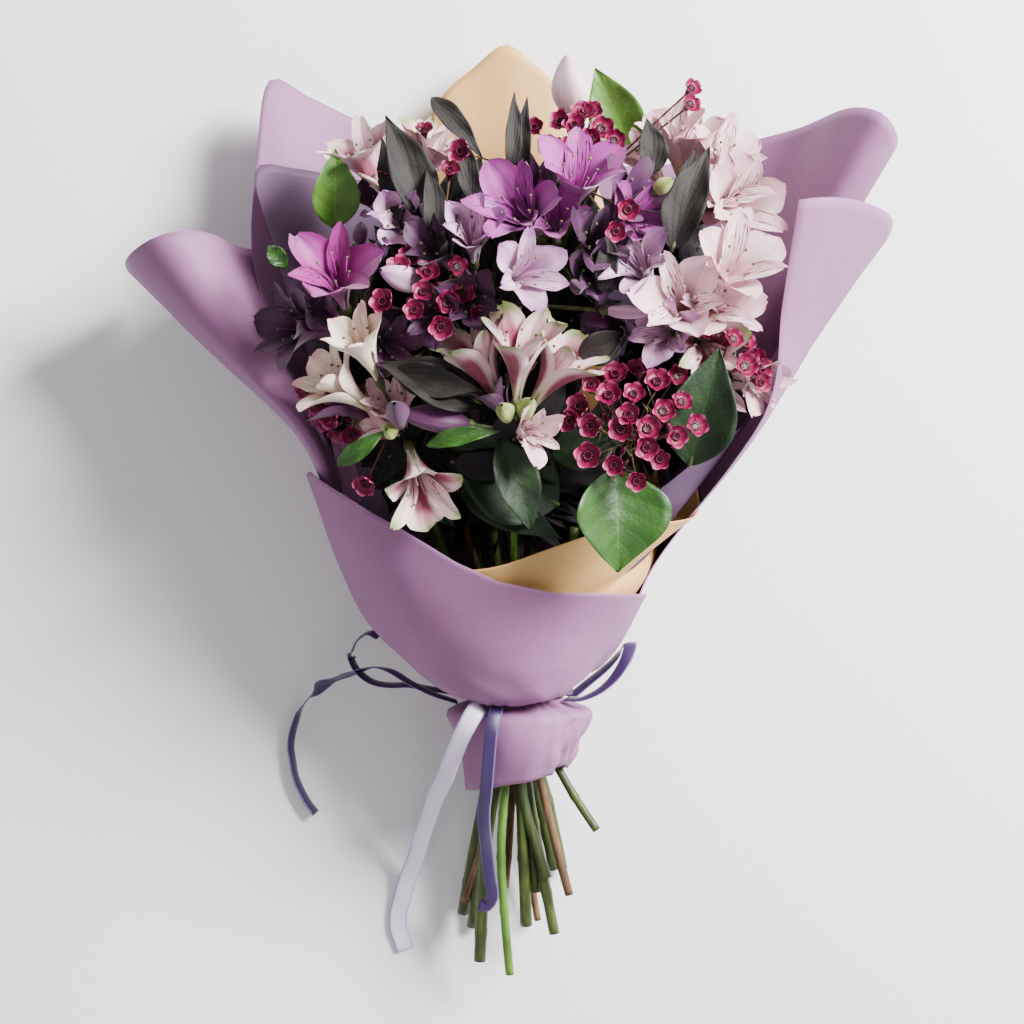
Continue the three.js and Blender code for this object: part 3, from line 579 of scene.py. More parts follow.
def paper_rows(turn, first, waist, step, tuck, crest=None, rim=None, columns=97, levels=64):
    """Rows of points in mm over one sheet, from its lower edge to its free rim."""
    shares = [k / (columns - 1) for k in range(columns)]
    angles = [turn[0] + (turn[1] - turn[0]) * share for share in shares]
    tops = [follow(waist, share) for share in shares]
    inset = step * SHEET_STEP
    base = max(ring[0] for ring in CONE if ring[0] < FLARE_START)
    rows = [[skewed(on_cone(ring[0], angle, inset), angle) for angle in angles]
            for ring in CONE if first <= ring[0] < FLARE_START]
    for k in range(1, 4):
        share = (k / 3) ** 1.4
        rows.append([
            on_cone(base + (top - base) * share, angle,
                    inset + share * tuck * max(0.0, 1 - 3 * column))
            for angle, top, column in zip(angles, tops, shares)
        ])
    if step == 0:
        rows = [[pouched(point, angle, 17) for point, angle in zip(row, angles)] for row in rows]
    if crest:
        rows.append(smooth_path([Vector(point) for point in crest], columns))
    if rim:
        edge = smooth_path([Vector(point) for point in rim], columns)
        rows.append([a.lerp(b, 0.5) for a, b in zip(rows[-1], edge)])
        rows.append(edge)
    lines = [smooth_path([row[k] for row in rows], levels) for k in range(columns)]
    floor = 0.3 + SHEET_STEP * max(0, step - 1)
    fine = [[line[i] for line in lines] for i in range(levels)]
    return [[Vector((p.x, p.y, max(p.z, floor))) for p in row] for row in fine]


def crumpled(rows, step, pleat, crease):
    """Pleats drawn in at the tie and soft dents in the open paper, in step on every sheet."""
    done = []
    for i, row in enumerate(rows):
        above = rows[min(i + 1, len(rows) - 1)]
        below = rows[max(i - 1, 0)]
        line = []
        for j, point in enumerate(row):
            over = row[min(j + 1, len(row) - 1)] - row[max(j - 1, 0)]
            normal = over.cross(above[j] - below[j]).normalized()
            outward = point - Vector((TIE.x, point.y, TIE.z))
            if normal.dot(outward) < 0:
                normal.negate()
            angle = math.atan2(outward.x, outward.z)
            wander = 2.2 * noise.noise(point / 30)
            fold = math.sin(5 * angle + wander) + 0.5 * math.sin(13 * angle + 3 * wander)
            gather = math.exp(-((point.y - TIE.y) / (22 if point.y > TIE.y else 12)) ** 2)
            loose = 0.25 + 0.75 * ease(0.1, 1.1, angle)
            skirt = ease(-104, -116, point.y) * loose
            dent = noise.noise(point / 46) + 0.35 * noise.noise(point / 17)
            crinkle = abs(noise.noise(point / 12 + Vector((7, 0, 0)))) * loose
            slack = ease(2, 12, abs(point.z) if point.y > -90 else 12)
            push = pleat * gather * (fold - 1.5) * 0.5 * (0.4 + loose)
            push += skirt * (1.8 * (fold - 1) - 5 * crinkle)
            push += 0.5 if step == 0 else 0.0
            push += crease * dent * ease(0, 30, abs(point.y - TIE.y)) * slack
            line.append(at(point + normal * push * (1 if step < 2 else 0.7)))
        done.append(line)
    return done


# Each sheet's flat width and length and its area, in metres.
SHEET_SIZES = (
    ("paper_outer", (0.50, 0.38), 0.112), ("paper_front", (0.26, 0.17), 0.029),
    ("paper_back", (0.38, 0.34), 0.081), ("paper_kraft", (0.36, 0.34), 0.0505),
    ("paper_inner", (0.40, 0.30), 0.072),
)


def make_sheet(name, finish, slot, settings):
    plan = SHEETS[name]
    rows = crumpled(paper_rows(**plan), plan["step"], settings.pleat_depth / MM,
                    settings.paper_dent / MM)
    shape = Shape()
    shape.grid(rows)
    piece = walled(shape.build(f"{name}_sheet", [finishes[finish]]), settings.paper_thickness)
    settle(piece, slot, name)
    return piece


# ---- Ribbon -----------------------------------------------------------------------------

# Width in mm, the way the flat side looks at each end, and the route, as the CAD ribbons have it.
RIBBONS = {
    "ribbon_tail_lilac": (10, ((0, 0, 1), (0.2, 0, 1)), (
        (-17, -104, 76), (-20, -107, 81), (-24, -114, 81), (-28, -122, 77), (-32, -132, 70),
        (-36, -143, 61), (-41, -154, 50), (-45, -166, 38), (-50, -180, 25), (-54, -194, 14),
        (-59, -207, 6.5), (-62, -218, 3), (-64, -226, 1.8), (-64, -234, 1.4), (-62, -240, 1.3),
        (-60, -246, 1.3))),
    "ribbon_tail_violet": (7, ((0, 0, 1), (0.3, 0, 1)), (
        (-8, -104, 78), (-9, -108, 83), (-11, -116, 86), (-12, -126, 86), (-13, -138, 84),
        (-14, -150, 80), (-15, -160, 75), (-15, -170, 69), (-14, -180, 62), (-13, -190, 56),
        (-12, -200, 51), (-11, -206, 48), (-11, -211, 47), (-14, -215, 46), (-18, -214, 46))),
    "ribbon_tail_curled": (7, ((0.2, 1, 0.3), (1, 0, 0.5)), (
        (-30, -103, 56), (-42, -99, 60), (-54, -93, 60), (-66, -86, 56), (-76, -85, 48),
        (-86, -88, 39), (-94, -91, 31), (-102, -94, 24), (-109, -99, 17), (-115, -105, 12),
        (-119, -111, 8), (-121, -117, 6), (-123, -124, 4.6), (-124, -132, 4), (-123, -140, 3.8),
        (-122, -147, 3.7), (-120, -153, 3.7), (-117, -159, 3.7), (-114, -164, 3.7),
        (-110, -169, 3.7))),
    "bow_loop_left": (7, ((0, 1, 0.4), (0, 1, 0.4)), (
        (-27, -99, 34), (-34, -99, 36), (-44, -97, 39), (-56, -95, 41), (-66, -95, 40),
        (-77, -93, 39), (-85, -87, 39), (-88, -79, 41), (-85, -71, 45), (-78, -66, 49),
        (-72, -68, 52))),
    "bow_loop_right": (7, ((0, 1, 0.4), (0, 1, 0.4)), (
        (30, -102, 46), (37, -102, 52), (46, -98, 54), (55, -91, 53), (61, -83, 50),
        (64, -76, 45), (65, -72, 38), (62, -75, 31), (55, -83, 28), (45, -92, 28),
        (35, -100, 30), (31, -102, 32))),
}


def make_ribbon(name, finish, slot, settings):
    width, faces, route = RIBBONS[name]
    path = smooth_path([at(point) for point in route], 90)
    start, end = (Vector(face).normalized() for face in faces)
    rows = []
    for i, point in enumerate(path):
        share = i / (len(path) - 1)
        way = (path[min(i + 1, len(path) - 1)] - path[max(i - 1, 0)]).normalized()
        face = start.lerp(end, share)
        side = way.cross(face).normalized()
        flat = side.cross(way).normalized()
        rows.append([
            point + side * (width * MM * (k / 6 - 0.5))
            + flat * (settings.ribbon_cup * (1 - (k / 3 - 1) ** 2) + 0.0002 * math.sin(share * 23))
            for k in range(7)
        ])
    shape = Shape()
    shape.grid(rows)
    piece = walled(shape.build(f"{name}_satin", [finishes[finish]]), settings.ribbon_thickness)
    settle(piece, slot, name)
    return piece


def make_knot(settings):
    """Three gathered turns of ribbon round the tie and the knot that they are pulled into."""
    shape = Shape()
    for turn, (drop, out) in enumerate(((-1.7, 0.9), (0.1, 1.4), (1.8, 0.8))):
        ring = []
        for k in range(73):
            angle = 2 * math.pi * k / 72
            reach = TIE_RADIUS + out + 0.3 * math.sin(7 * angle + turn)
            ring.append(at((TIE.x + reach * math.sin(angle),
                            TIE.y + drop + 0.5 * math.sin(3 * angle + 2 * turn),
                            TIE.z + reach * math.cos(angle))))
        shape.tube(ring, 0.0011, sides=10, slot=0, capped=False)
    for lean, (x, z, wide) in ((0.2, (-15, 68, 5)), (-0.4, (-9, 69, 5)), (1.2, (-12, 71, 4))):
        lump = [at((x - wide * math.cos(lean) + 2 * wide * math.cos(lean) * t,
                    TIE.y - 1 + wide * math.sin(lean) * (2 * t - 1), z + 1.5 * math.sin(math.pi * t)))
                for t in (k / 12 for k in range(13))]
        girth = [0.0006 + 0.0022 * math.sin(math.pi * k / 12) ** 0.5 for k in range(13)]
        shape.tube(lump, girth, sides=12, slot=0)
    return settle(merged(shape.build("ribbon_knot", [finishes["violet ribbon"]])),
                  "violet_ribbon", "ribbon_band")


# ---- Stems and leaves -------------------------------------------------------------------


def head_of(stem):
    return spine_of(f"stem_{stem}")[0][-1]


def make_stem(name, finish, slot):
    """A stem with slight swellings where its leaves were stripped, and a pale fresh cut."""
    middles, radius = spine_of(f"stem_{name}")
    path = smooth_path(middles, 110)
    seed = sum(map(ord, name))
    joints = [0.09 + 0.11 * k + 0.03 * math.sin(seed + 5 * k) for k in range(5)]
    girth = []
    for i in range(len(path)):
        share = i / (len(path) - 1)
        swell = sum(math.exp(-((share - joint) / 0.006) ** 2) for joint in joints)
        ripple = 0.05 * noise.noise(Vector((share * 30, seed, 0)))
        girth.append(radius * (1 - 0.35 * ease(0.4, 1, share) + 0.16 * swell + ripple))
    shape = Shape()
    shape.tube(path[1:], girth[1:], sides=16, slot=0)
    way = (path[0] - path[3]).normalized()
    face = path[1] + way * 0.0001
    shape.tube([path[2], face], [girth[1] * 0.86, girth[1] * 0.88], sides=16, slot=1)
    piece = merged(shape.build(f"stem_{name}_green", [finishes[finish], finishes["cut"]]))
    return settle(piece, slot, f"stem_{name}")


# Stems that only run between two others, to fill the bundle.
BETWEEN = (("magenta", "cream"), ("blush", "pale"), ("violet", "lilac"), ("rose", "wax_left"),
           ("shell", "violet"), ("wax_front", "salal"))


def make_stems_between():
    """The bunch's remaining green stems, each halfway between two of the others."""
    shape = Shape()
    for k, pair in enumerate(BETWEEN):
        first, second = (smooth_path(spine_of(f"stem_{name}")[0], 60) for name in pair)
        share = 0.5 + 0.12 * math.sin(3 * k)
        path = [a.lerp(b, share) - Vector((0, 0, 0.003)) for a, b in zip(first, second)]
        path = path[2 + k % 3:44]
        girth = [0.0028 * (1 + 0.1 * math.sin(i * 1.3 + k) ** 8) for i in range(len(path))]
        shape.tube(path, girth, sides=14, slot=0)
    piece = merged(shape.build("stems_between", [finishes["stem"]]))
    return settle(piece, "green_stem")


def leaf_rows(base, tip, half, up, arch, fold, belly, wave, columns=13, levels=30):
    """A blade from base to tip: belly moves the widest place, wave ruffles the edge."""
    along = tip - base
    side = along.cross(up).normalized()
    up = side.cross(along).normalized()
    rows = []
    for i in range(levels):
        t = i / (levels - 1)
        reach = half * max(0.02, math.sin(math.pi * t ** belly) ** 0.9 * (1 - 0.25 * t ** 4))
        rise = arch * math.sin(math.pi * t)
        row = []
        for j in range(columns):
            u = 2 * j / (columns - 1) - 1
            ripple = wave * abs(u) ** 2 * math.sin(17 * t + 3 * u)
            lift = rise + fold * (abs(u) ** 1.5) * reach + ripple
            row.append(base + along * t + side * (u * reach) + up * lift)
        rows.append(row)
    return rows


# Base and tip of each leaf in mm.
LEAVES = {
    "leaf_salal_1": ((52, 22, 140), (54, -31, 138)), "leaf_salal_2": ((92, 24, 128), (106, 84, 146)),
    "leaf_salal_3": ((-94, 150, 92), (-93, 191, 104)), "leaf_salal_4": ((68, 190, 62), (45, 240, 62)),
    "leaf_salal_5": ((24, 4, 112), (-34, 34, 122)), "leaf_narrow_1": ((-44, 150, 128), (-66, 206, 120)),
    "leaf_narrow_2": ((82, 134, 144), (102, 188, 134)),
    "leaf_narrow_3": ((-16, 56, 142), (-68, 76, 148)),
}


def leaf_frame(node):
    """Base, tip, half width and upper side of a leaf."""
    base, tip = (at(end) for end in LEAVES[node])
    along = (tip - base).normalized()
    out = [(spot - base) - along * (spot - base).dot(along) for spot in corners_of(node)]
    wide = max(out, key=lambda offset: Vector((offset.x, offset.y, 0)).length)
    up = along.cross(wide).normalized()
    if up.z < 0:
        up.negate()
    return base, tip, wide.length, up


def make_leaf(node, finish, slot, broad):
    base, tip, half, up = leaf_frame(node)
    arch = (0.06 if broad else 0.08) * (tip - base).length
    shape = Shape()
    rows = leaf_rows(base, tip, half, up, arch, 0.42 if broad else 0.5,
                     0.82 if broad else 0.7, 0.0007 if broad else 0.0012)
    shape.grid(rows)
    stalk = base + (tip - base).normalized() * 0.003 - Vector((0, 0, 0.009))
    shape.tube(smooth_path([stalk, base, base.lerp(tip, 0.12) - up * 0.0002], 8),
               0.0011, sides=8, slot=1)
    piece = shape.build(f"{node}_blade", [finishes[finish], finishes["stalk"]])
    return settle(walled(piece, 0.0003), slot, node)


# ---- Flowers ----------------------------------------------------------------------------


def tepal_width(t, widest):
    if t < widest:
        return 0.2 + 0.8 * ease(0, widest, t)
    return math.sqrt(max(0.015, 1 - ((t - widest) / (1.005 - widest)) ** 2))


def tepal_rows(length, half, spread, inner, turned, chance, columns=11, levels=20):
    """One tepal of a funnel round +Z, its foot at the origin, in its own plain frame."""
    rows = []
    reach = 0.0012 if inner else 0.0024
    roll = 0.8 if inner else 1.0
    seed = chance.uniform(0, 90)
    height = 0.0
    wavy = chance.uniform(0, 6)
    twist = chance.uniform(-0.10, 0.10)
    for i in range(levels):
        t = i / (levels - 1)
        lean = math.radians(5 + roll * 24 * t + spread * 46 * t ** 2.2)
        if i:
            reach += length / (levels - 1) * math.sin(lean)
            height += length / (levels - 1) * math.cos(lean)
        width = half * tepal_width(t, 0.56 if inner else 0.66)
        wrap = 1 - 0.4 * t
        row = []
        for j in range(columns):
            u = 2 * j / (columns - 1) - 1
            around = turned + twist * t + wrap * u * width / (reach + 0.0022)
            flat = (1 - wrap) * u * width
            ripple = noise.noise(Vector((seed, 5 * t, 1.5 * u)))
            edge = abs(u) ** 2 * t * (0.0012 * math.sin(12 * t + wavy + u) + 0.004 * ripple)
            cup = -0.2 * u * u * width + 0.1 * width * math.exp(-(u / 0.16) ** 2) * t
            out = reach + cup * math.cos(lean) + edge
            row.append(Vector((
                out * math.cos(around) - flat * math.sin(turned),
                out * math.sin(around) + flat * math.cos(turned),
                height - cup * math.sin(lean) + edge * 0.6,
            )))
        rows.append(row)
    return rows


def add_floret(shape, foot, mouth, axis, size, spread, spin, chance, settings):
    """Six tepals, six stamens, the ovary and the stalk of one alstroemeria flower."""
    length = settings.tepal_length * size
    base = mouth - axis * length * (0.86 - 0.12 * max(0.0, spread - 0.6))
    upright = Vector((0, 0, 1)).rotation_difference(axis)
    upright = upright @ Quaternion((0, 0, 1), spin)

    def put(points):
        return [base + upright @ point for point in points]

    for k in range(6):
        inner = k % 2
        turned = k * math.pi / 3
        half = length * (0.16 if inner else 0.265) * chance.uniform(0.92, 1.06)
        rows = tepal_rows(length * (1.04 if inner else 1) * chance.uniform(0.93, 1.05), half,
                          spread * chance.uniform(0.6, 1.3), inner, turned, chance)
        shape.grid([put(row) for row in rows], 0,
                   lambda u, v, more=2 * inner: (0.98 * u + 0.01 + more, v))
    for k in range(6):
        angle = k * math.pi / 3 + 0.4
        out = Vector((math.cos(angle), math.sin(angle), 0))
        sag = Vector((0, 0, 1)) + out * 0.12
        line = [out * 0.001 + sag * length * 0.8 * t + out * 0.004 * t * t for t in (0, 0.3, 0.6, 0.9)]
        shape.tube(put(line), 0.00035, sides=5, slot=2)
        top = line[-1]
        shape.tube(put([top - out * 0.0009, top, top + out * 0.0009]),
                   [0.0003, 0.0009, 0.0003], sides=6, slot=3)
    rings = [(-0.0085, 0.0008), (-0.007, 0.0021), (-0.004, 0.003), (-0.001, 0.0028), (0.001, 0.0022)]
    shape.tube([base + axis * z for z, _ in rings], [r * size for _, r in rings], sides=12, slot=1)
    stalk = smooth_path([foot, foot.lerp(base, 0.5), base - axis * 0.008], 10)
    shape.tube(stalk, 0.0011, sides=7, slot=1)


# Each flower's kind, how wide it opens, how it is spun on its stalk, and its size.
FLORETS = {
    "blush_1": ("blush", 0.5, 0.4, 1.1), "blush_2": ("blush", 0.45, 0.0, 1.15),
    "blush_3": ("blush", 0.5, 0.9, 1.1), "cream_1": ("cream", 0.7, 0.2, 1.0),
    "cream_2": ("cream", 0.4, 0.5, 0.9), "cream_3": ("blush", 0.75, 0.6, 1.05),
    # magenta_2 and violet_3 are drawn in plum, painted shade on flowers of the magenta and violet
    # stems.
    "magenta_1": ("magenta", 0.75, 0.3, 1.2), "magenta_2": ("plum", 0.8, 0.8, 1.0),
    "violet_1": ("violet", 0.7, 0.1, 1.15), "violet_2": ("violet", 0.7, 0.5, 1.2),
    "violet_3": ("plum", 0.8, 0.2, 0.95), "lilac_1": ("lilac", 0.7, 0.6, 0.95),
    "lilac_2": ("lilac", 0.35, 0.2, 0.85), "pale_1": ("pale", 0.8, 0.5, 1.2),
    "pale_2": ("pale", 0.7, 0.9, 1.15), "pale_3": ("pale", 0.45, 0.2, 0.82),
    "pale_4": ("lilac", 0.8, 0.7, 0.9), "shell_1": ("pale", 0.6, 0.3, 1.15),
    "shell_2": ("pale", 0.7, 0.6, 1.0), "shell_3": ("pale", 0.6, 0.1, 0.95),
    "rose_1": ("rose", 0.7, 0.7, 1.05),
}
# Flowers that fill in behind the others: stem, mouth in mm, kind, opening, spin and size.
# The plum flowers among them are painted shade deep in the bunch, whatever their stem.
FILLING = (
    ("rose", (-46, 204, 92), "blush", 0.5, 0.2, 0.85),
    ("cream", (-80, 48, 118), "blush", 0.5, 0.7, 0.85),
    ("violet", (46, 140, 158), "plum", 0.6, 0.3, 0.85),
    ("lilac", (-40, 98, 158), "plum", 0.5, 0.6, 0.8),
    ("shell", (104, 168, 118), "pale", 0.6, 0.4, 0.9),
    ("pale", (102, 84, 140), "blush", 0.6, 0.5, 0.9),
    ("magenta", (-108, 116, 108), "plum", 0.6, 0.2, 0.8),
    ("blush", (-12, 66, 152), "plum", 0.4, 0.5, 0.7),
    ("shell", (66, 196, 84), "pale", 0.5, 0.8, 0.85),
    ("pale", (116, 108, 130), "pale", 0.6, 0.1, 0.9),
    ("violet", (10, 176, 130), "plum", 0.6, 0.9, 0.9),
    ("rose", (-70, 168, 98), "plum", 0.5, 0.1, 0.8),
    ("cream", (-96, 62, 124), "plum", 0.6, 0.4, 0.85),
    ("magenta", (-60, 86, 146), "plum", 0.5, 0.2, 0.8),
    ("rose", (-57, 152, 138), "lilac", 0.3, 0.1, 0.9),
    ("lilac", (-42, 140, 150), "plum", 0.4, 0.5, 0.85),
    ("lilac", (-21, 108, 162), "plum", 0.4, 0.8, 0.85),
    ("violet", (45, 122, 156), "plum", 0.6, 0.6, 0.85),
    ("violet", (66, 153, 150), "violet", 0.6, 0.1, 0.9),
    ("pale", (76, 92, 158), "lilac", 0.5, 0.3, 0.9),
    ("pale", (47, 94, 150), "plum", 0.5, 0.7, 0.8),
    ("shell", (114, 170, 128), "pale", 0.6, 0.7, 1.0),
    ("shell", (96, 204, 100), "pale", 0.4, 0.4, 1.0),
    ("pale", (106, 62, 132), "pale", 0.5, 0.6, 0.9),
    ("rose", (-66, 182, 104), "blush", 0.4, 0.5, 0.95),
    ("rose", (-38, 196, 104), "pale", 0.3, 0.2, 0.8),
    ("blush", (14, 40, 158), "pale", 0.4, 0.4, 0.75),
    ("pale", (104, 110, 150), "pale", 0.6, 0.3, 1.0),
    ("violet", (20, 156, 150), "violet", 0.6, 0.8, 0.9),
    ("cream", (-64, 60, 136), "pale", 0.4, 0.3, 0.8),
)
# Buds that have a CAD part: stem, colour, length and half width in mm.
BUDS = {
    # bud_plum is drawn in plum, painted shade on a bud of the cream stem.
    "bud_lilac": ("lilac", "lilac", 36, 7.5), "bud_plum": ("cream", "plum", 38, 7),
    "bud_white": ("wax_top", "pale", 34, 11),
}


def flower_materials(kind):
    return [finishes[kind], finishes["stalk"], finishes[kind], finishes["anther"]]


def add_bud(shape, foot, top, axis, length, half):
    """A closed spindle of folded tepals with a slight lengthwise furrow between them."""
    base = top - axis * length
    side = axis.orthogonal().normalized()
    up = axis.cross(side)
    rows = []
    for i in range(19):
        t = i / 18
        girth = half * math.sin(math.pi * min(1, t * 0.94 + 0.03)) ** 0.75 * (1 - 0.25 * t)
        rows.append([
            base + axis * length * t
            + (side * math.cos(a) + up * math.sin(a)) * girth * (1 + 0.1 * math.cos(3 * a + 1.6 * t))
            for a in (2 * math.pi * k / 24 for k in range(24))
        ])
    shape.grid(rows, 0, lambda u, v: ((3 * u) % 1 if u < 1 else 0.99, 0.25 + 0.75 * v), ring=True)
    shape.tube(smooth_path([foot, foot.lerp(base, 0.5), base], 8), 0.0011, sides=7, slot=1)
    shape.tube([base - axis * 0.003, base, base + axis * 0.004],
               [0.0012, 0.003, 0.0026], sides=12, slot=1)


def make_floret(name, settings):
    kind, spread, spin, size = FLORETS[name]
    foot, mouth, axis = stance(f"floret_{name}", name.split("_")[0])
    shape = Shape()
    add_floret(shape, foot, mouth, axis, size, spread, spin, random.Random(name), settings)
    piece = merged(shape.build(f"alstroemeria_{name}", flower_materials(kind)))
    return settle(piece, slot_of(f"floret_{name}"), f"floret_{name}")


def make_filling_florets(settings):
    """Flowers half hidden behind the front ones, one mesh for each colour."""
    pieces = []
    for kind in sorted({row[2] for row in FILLING}):
        chance = random.Random(f"filling {kind}")
        shape = Shape()
        for stem, mouth, own, spread, spin, size in FILLING:
            if own != kind:
                continue
            head = head_of(stem)
            place = at(mouth)
            axis = (place - head).normalized()
            add_floret(shape, head, place, axis, size, spread, spin, chance, settings)
        piece = merged(shape.build(f"alstroemeria_behind_{kind}", flower_materials(kind)))
        pieces.append(settle(piece, "violet_petal" if kind == "plum" else "blush_petal"))
    return pieces


def make_bud(node):
    stem, kind, length, half = BUDS[node]
    foot, top, axis = stance(node, stem)
    shape = Shape()
    add_bud(shape, foot, top, axis, length * MM, half * MM)
    piece = merged(shape.build(f"{node}_closed", flower_materials(kind)))
    return settle(piece, "blush_petal" if node == "bud_white" else "violet_petal", node)


# Small unopened buds that have no CAD part: stem, top in mm, colour, length and half width.
# The plum buds are painted shade deep in the bunch.
SMALL_BUDS = (
    ("blush", (-5, 54, 165), "green bud", 16, 5.5), ("blush", (10, 57, 165), "green bud", 18, 5.5),
    ("cream", (-64, 42, 150), "green bud", 14, 5), ("violet", (82, 170, 150), "green bud", 14, 4.5),
    ("magenta", (-65, 141, 140), "plum", 15, 4.5), ("lilac", (71, 100, 165), "lilac", 30, 4),
    ("magenta", (-78, 150, 128), "plum", 14, 4.5),
    ("blush", (-58, 50, 148), "plum", 38, 8),
    ("violet", (34, 112, 166), "plum", 18, 4.5),
)


def make_small_buds():
    pieces = []
    for kind in ("green bud", "plum", "lilac"):
        shape = Shape()
        for stem, top, own, length, half in SMALL_BUDS:
            if own == kind:
                head = head_of(stem)
                place = at(top)
                axis = (place - head).normalized()
                add_bud(shape, head, place, axis, length * MM, half * MM)
        name = "small_buds_" + kind.split()[0]
        piece = merged(shape.build(name, flower_materials(kind)))
        pieces.append(settle(piece, "violet_petal"))
    return pieces


# ---- Waxflower --------------------------------------------------------------------------

# Stem, middle of the blooms, radius of the spray in mm and number of blooms.
SPRAYS = {
    "wax_front": ("wax_front", (62, 50, 158), 34, 22),
    "wax_right": ("wax_front", (121, 86, 132), 20, 10),
    "wax_left": ("wax_left", (-41, 113, 160), 26, 11),
    "wax_corner": ("wax_left", (-100, 52, 112), 20, 9),
    "wax_top": ("wax_top", (36, 200, 120), 19, 10),
}
# Single blooms between the flowers: stem and place in mm.
LONE_BLOOMS = (
    ("wax_top", (52, 141, 172)), ("wax_top", (58, 152, 170)), ("wax_top", (-26, 186, 132)),
    ("wax_left", (-32, 176, 132)), ("wax_top", (94, 222, 108)), ("wax_top", (93, 213, 112)),
    ("wax_left", (-96, 51, 122)), ("wax_left", (-76, 15, 122)), ("wax_left", (-46, 200, 108)),
    ("wax_top", (12, 200, 118)), ("wax_left", (-64, 178, 118)), ("wax_front", (40, 64, 166)),
)


def bloom_shape():
    """One waxflower 2 units wide: a bell, a dark cup with ten stamens, five round petals."""
    shape = Shape()
    shape.grid([[Vector((r * math.cos(a), r * math.sin(a), z))
                 for a in (2 * math.pi * k / 15 for k in range(15))]
                for r, z in ((0.08, -1.15), (0.2, -1.0), (0.34, -0.5), (0.45, 0.0), (0.42, 0.12),
                             (0.26, 0.02), (0.0, 0.06))],
               0, lambda u, v: (u, 0.55 - 0.5 * v), ring=True)
    for k in range(5):
        turned = 2 * math.pi * k / 5
        rows = []
        for i in range(6):
            t = i / 5
            reach = 0.36 + 0.64 * t
            half = 0.2 + 0.34 * math.sin(math.pi * (0.1 + 0.72 * t)) * (1 - 0.2 * t ** 4)
            rows.append([Vector((
                (reach - 0.2 * u * u * t) * math.cos(turned) - u * half * math.sin(turned),
                (reach - 0.2 * u * u * t) * math.sin(turned) + u * half * math.cos(turned),
                0.06 + 0.42 * t * t + 0.1 * u * u * t + 0.06 * u,
            )) for u in (-1, -0.5, 0, 0.5, 1)])
        shape.grid(rows, 0, lambda u, v: (u, 0.5 + 0.5 * v))
    for k in range(10):
        a = 2 * math.pi * (k + 0.5) / 10
        out = Vector((math.cos(a), math.sin(a), 0))
        shape.tube([out * 0.38 + Vector((0, 0, 0.08)), out * 0.34 + Vector((0, 0, 0.26)),
                    out * 0.26 + Vector((0, 0, 0.32))], [0.03, 0.03, 0.07], sides=4)
    return shape


def spray_nodes():
    """Geometry nodes that stand a bloom on every point, by its facing, turn and size."""
    group = bpy.data.node_groups.new("Waxflower spray", "GeometryNodeTree")
    inputs = (("Points", "NodeSocketGeometry"), ("Bloom", "NodeSocketObject"),
              ("Finish", "NodeSocketMaterial"), ("Seed", "NodeSocketInt"))
    for name, kind in inputs:
        group.interface.new_socket(name, in_out="INPUT", socket_type=kind)
    group.interface.new_socket("Blooms", in_out="OUTPUT", socket_type="NodeSocketGeometry")
    given = add(group, "NodeGroupInput").outputs
    facing = add(group, "GeometryNodeInputNamedAttribute", {"Name": "facing"},
                 data_type="FLOAT_VECTOR")
    size = add(group, "GeometryNodeInputNamedAttribute", {"Name": "size"}, data_type="FLOAT")
    aim = add(group, "FunctionNodeAlignRotationToVector", {"Vector": facing.outputs[0]}, axis="Z")
    turn = add(group, "FunctionNodeRandomValue", {3: 6.283, "Seed": given["Seed"]},
               data_type="FLOAT")
    spin = add(group, "FunctionNodeAxisAngleToRotation",
               {"Axis": (0.0, 0.0, 1.0), "Angle": turn.outputs[1]})
    both = add(group, "FunctionNodeRotateRotation",
               {0: aim.outputs[0], 1: spin.outputs[0]}, rotation_space="LOCAL")
    bloom = add(group, "GeometryNodeObjectInfo", {"Object": given["Bloom"]})
    stand = add(group, "GeometryNodeInstanceOnPoints",
                {"Points": given["Points"], "Instance": bloom.outputs["Geometry"],
                 "Rotation": both.outputs[0], "Scale": size.outputs[0]})
    real = add(group, "GeometryNodeRealizeInstances", {0: stand.outputs[0]})
    done = add(group, "GeometryNodeSetMaterial",
               {"Geometry": real.outputs[0], "Material": given["Finish"]})
    add(group, "NodeGroupOutput", {0: done.outputs[0]})
    return group


def place_blooms(name, blooms, seed, slot, *nodes):
    """Plain mesh of the spray group's blooms; each bloom has a place, facing and size."""
    mesh = bpy.data.meshes.new(name)
    mesh.from_pydata([place for place, _, _ in blooms], [], [])
    facing = mesh.attributes.new("facing", "FLOAT_VECTOR", "POINT")
    facing.data.foreach_set("vector", [value for _, way, _ in blooms for value in way])
    size = mesh.attributes.new("size", "FLOAT", "POINT")
    size.data.foreach_set("value", [scale for _, _, scale in blooms])
    piece = bpy.data.objects.new(name, mesh)
    bpy.context.scene.collection.objects.link(piece)
    single = bloom_shape().build("single_bloom", [finishes["waxflower"]])
    group = spray_nodes()
    nodes_modifier = piece.modifiers.new("Blooms", "NODES")
    nodes_modifier.node_group = group
    sockets = {item.name: item.identifier for item in group.interface.items_tree
               if item.item_type == "SOCKET" and item.in_out == "INPUT"}
    nodes_modifier[sockets["Bloom"]] = single
    nodes_modifier[sockets["Finish"]] = finishes["waxflower"]
    nodes_modifier[sockets["Seed"]] = seed
    as_mesh(piece)
    bpy.data.objects.remove(single)
    return settle(piece, slot, *nodes)


